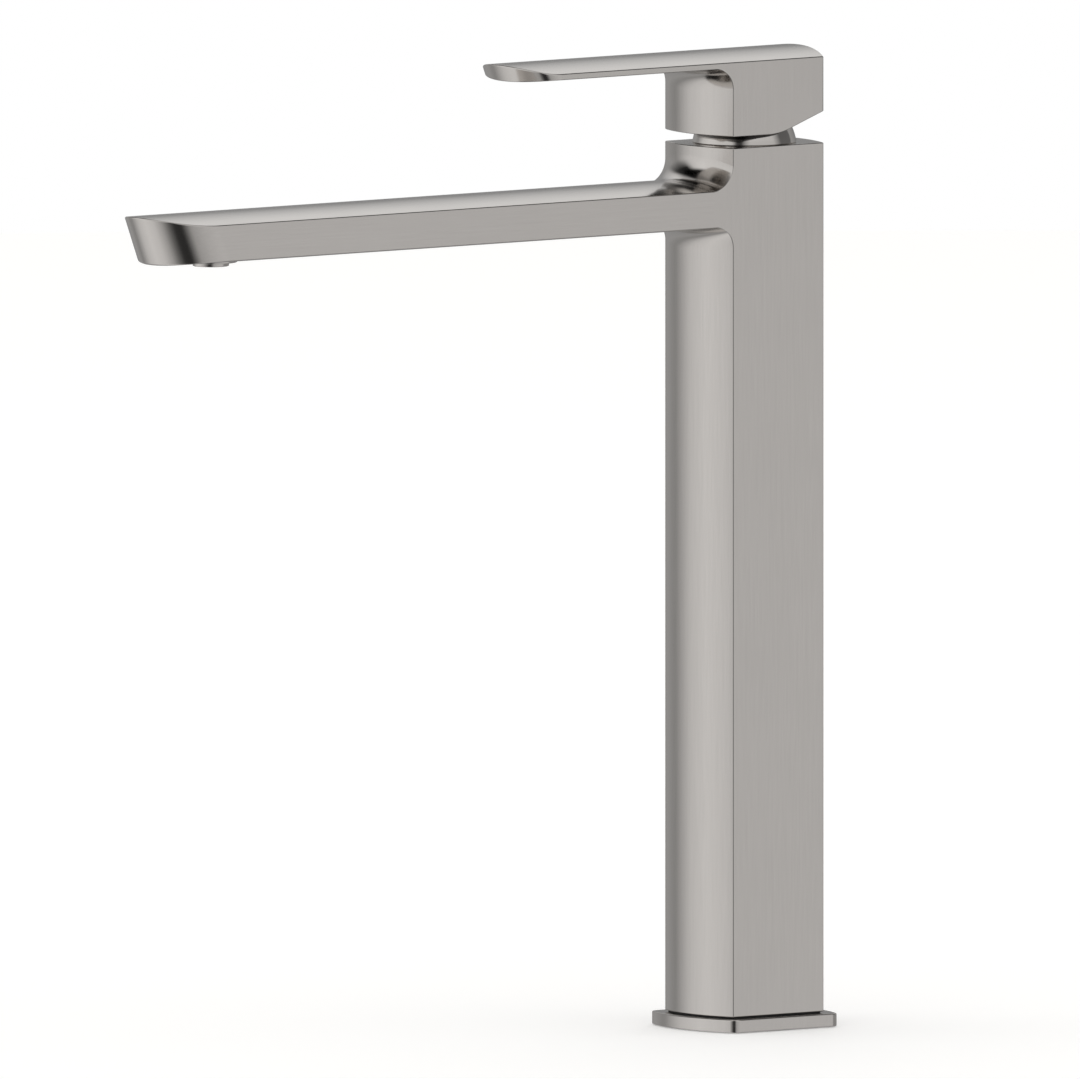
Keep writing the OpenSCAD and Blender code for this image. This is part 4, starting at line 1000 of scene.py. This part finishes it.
# Studio, in metres: a white surround, a white floor that keeps the shadow, and a grey tent that only the reflections
# see. Its tone goes by azimuth, in degrees from the spout's direction towards the right, in belts one above the
# other: a soft box left of the spout, a narrow dark card before the camera, a pale wall on the right, a dark one
# behind, and a dark card higher up on the left. Between the two elevations of a belt, in degrees, it takes over from
# the one below.
studioForm = {
    "floorRadius": 3.0, "floorColour": "#F2F1EF", "floorRough": 0.8, "floorGlow": 0.21, "floorLevel": -0.0003,
    "floorSteps": 96, "tentRadius": 3.0, "tentSteps": (64, 32), "light": 0.95, "white": "#FFFFFF",
    "belts": (
        (None, ((-180, 0.45), (-140, 0.22), (-90, 0.42), (-74, 0.34), (-52, 0.78), (-32, 0.92), (-10, 0.82),
                (8, 0.54), (23, 0.20), (35, 0.04), (51, 0.03), (60, 0.24), (68, 0.50), (90, 0.64), (112, 0.71),
                (132, 0.70), (140, 0.36), (165, 0.36))),
        ((0, 8), ((-180, 0.45), (-140, 0.22), (-90, 0.42), (-74, 0.36), (-54, 0.82), (-32, 0.95),
                  (24, 0.75), (35, 0.08), (46, 0.05), (54, 0.40), (64, 0.70), (122, 0.70), (143, 0.17), (168, 0.17))),
        ((14, 34), ((-180, 0.30), (-168, 0.60), (-155, 0.90), (-122, 1.0), (-102, 0.75), (-92, 0.04), (-64, 0.0),
                    (-52, 0.80), (-40, 1.0), (10, 0.95), (26, 0.80), (35, 0.06), (46, 0.04), (54, 0.45), (66, 0.85),
                    (122, 0.80), (143, 0.15), (168, 0.15))),
        ((37, 44), ((-180, 0.05), (-146, 0.05), (-128, 0.50), (-104, 0.50), (-90, 0.0), (-46, 0.0), (-28, 0.40),
                    (-10, 0.50), (118, 0.55), (136, 0.05))),
        ((60, 70), ((-180, 0.62), (0, 0.62))),
    ),
}


# Puts a thing in the scene that isn't part of the object
def stagePiece(name, mesh, material):
    mesh.materials.append(material)
    item = bpy.data.objects.new(name, mesh)
    bpy.context.scene.collection.objects.link(item)
    return item


# White to the camera and in reflections, and a plain white light on everything else
def makeWorld():
    world = bpy.data.worlds.new("studio")
    bpy.context.scene.world = world
    world.use_nodes = True
    tree = world.node_tree
    ray = addNode(tree, "LightPath")
    seen = addNode(tree, "Math", {"operation": "MAXIMUM"}, {0: ray.outputs["Is Camera Ray"],
                                                             1: ray.outputs["Is Glossy Ray"]})
    shown = addNode(tree, "Math", {"operation": "MAXIMUM"}, {0: seen.outputs["Value"],
                                                              1: ray.outputs["Is Transmission Ray"]})
    lit = tree.nodes["Background"]
    lit.inputs["Color"].default_value = linear(studioForm["white"])
    lit.inputs["Strength"].default_value = studioForm["light"]
    white = addNode(tree, "Background", {"Color": linear(studioForm["white"]), "Strength": 1.0})
    mix = addNode(tree, "MixShader", links={0: shown.outputs["Value"], 1: lit.outputs[0], 2: white.outputs[0]})
    tree.links.new(mix.outputs[0], tree.nodes["World Output"].inputs["Surface"])


# Floor: matt white paper; a little glow for the camera alone brings it up to the white of the surround
def makeFloor():
    f = studioForm
    angle = np.linspace(0, 2 * math.pi, f["floorSteps"] + 1)[:-1]
    ring = np.column_stack([np.cos(angle), np.sin(angle), 0 * angle]) * f["floorRadius"]
    ring += [0, 0, f["floorLevel"]]
    mesh = bpy.data.meshes.new("floor")
    mesh.from_pydata(ring.tolist(), [], [list(range(len(ring)))])
    material, tree, shader = newMaterial("whitePaper")
    shader.inputs["Base Color"].default_value = linear(f["floorColour"])
    shader.inputs["Roughness"].default_value = f["floorRough"]
    shader.inputs["Emission Color"].default_value = linear(f["white"])
    ray = addNode(tree, "LightPath")
    glow = addNode(tree, "Math", {"operation": "MULTIPLY", 1: f["floorGlow"]}, {0: ray.outputs["Is Camera Ray"]})
    tree.links.new(glow.outputs["Value"], shader.inputs["Emission Strength"])
    floor = stagePiece("floor", mesh, material)
    floor.visible_glossy = False


# Tent: a sphere, x = r cos(v) cos(u), y = r cos(v) sin(u), z = r sin(v), with azimuth = atan2(x, -y). Each belt is
# one ramp of greys over the whole turn, from -180 to 180 degrees, mixed in by the height.
def makeTent():
    f = studioForm
    around, up = f["tentSteps"]
    u, v = np.meshgrid(np.linspace(0, 2 * math.pi, around + 1), np.linspace(-1, 1, up + 1) * math.pi / 2)
    points = np.stack([np.cos(v) * np.cos(u), np.cos(v) * np.sin(u), np.sin(v)], -1) / mm * f["tentRadius"]
    mesh = buildMesh("tent", [(points, -points)], [])
    material, tree, shader = newMaterial("greyTent")
    tree.nodes.remove(shader)
    parts = addNode(tree, "SeparateXYZ", links={0: addNode(tree, "TexCoord").outputs["Object"]})
    flip = addNode(tree, "Math", {"operation": "MULTIPLY", 1: -1.0}, {0: parts.outputs["Y"]})
    turn = addNode(tree, "Math", {"operation": "ARCTAN2"}, {0: parts.outputs["X"], 1: flip.outputs["Value"]})
    share = addNode(tree, "MapRange", {"From Min": -math.pi, "From Max": math.pi}, {"Value": turn.outputs["Value"]})
    tone = None
    for span, tones in f["belts"]:
        belt = addNode(tree, "ValToRGB", links={"Fac": share.outputs["Result"]},
                       stops=[((degrees + 180) / 360, (grey, grey, grey, 1.0)) for degrees, grey in tones])
        if span:
            low, top = (f["tentRadius"] * math.sin(math.radians(a)) for a in span)
            lift = addNode(tree, "MapRange", {"From Min": low, "From Max": top}, {"Value": parts.outputs["Z"]})
            tone = addNode(tree, "Mix", {"data_type": "RGBA"},
                           {0: lift.outputs["Result"], 6: tone, 7: belt.outputs["Color"]}).outputs[2]
        else:
            tone = belt.outputs["Color"]
    glow = addNode(tree, "Emission", {"Strength": 1.0}, {"Color": tone})
    tree.links.new(glow.outputs[0], tree.nodes["Material Output"].inputs["Surface"])
    tent = stagePiece("tent", mesh, material)
    tent.visible_camera = tent.visible_shadow = tent.visible_diffuse = False


makeWorld()
makeFloor()
makeTent()
print("studio ready")
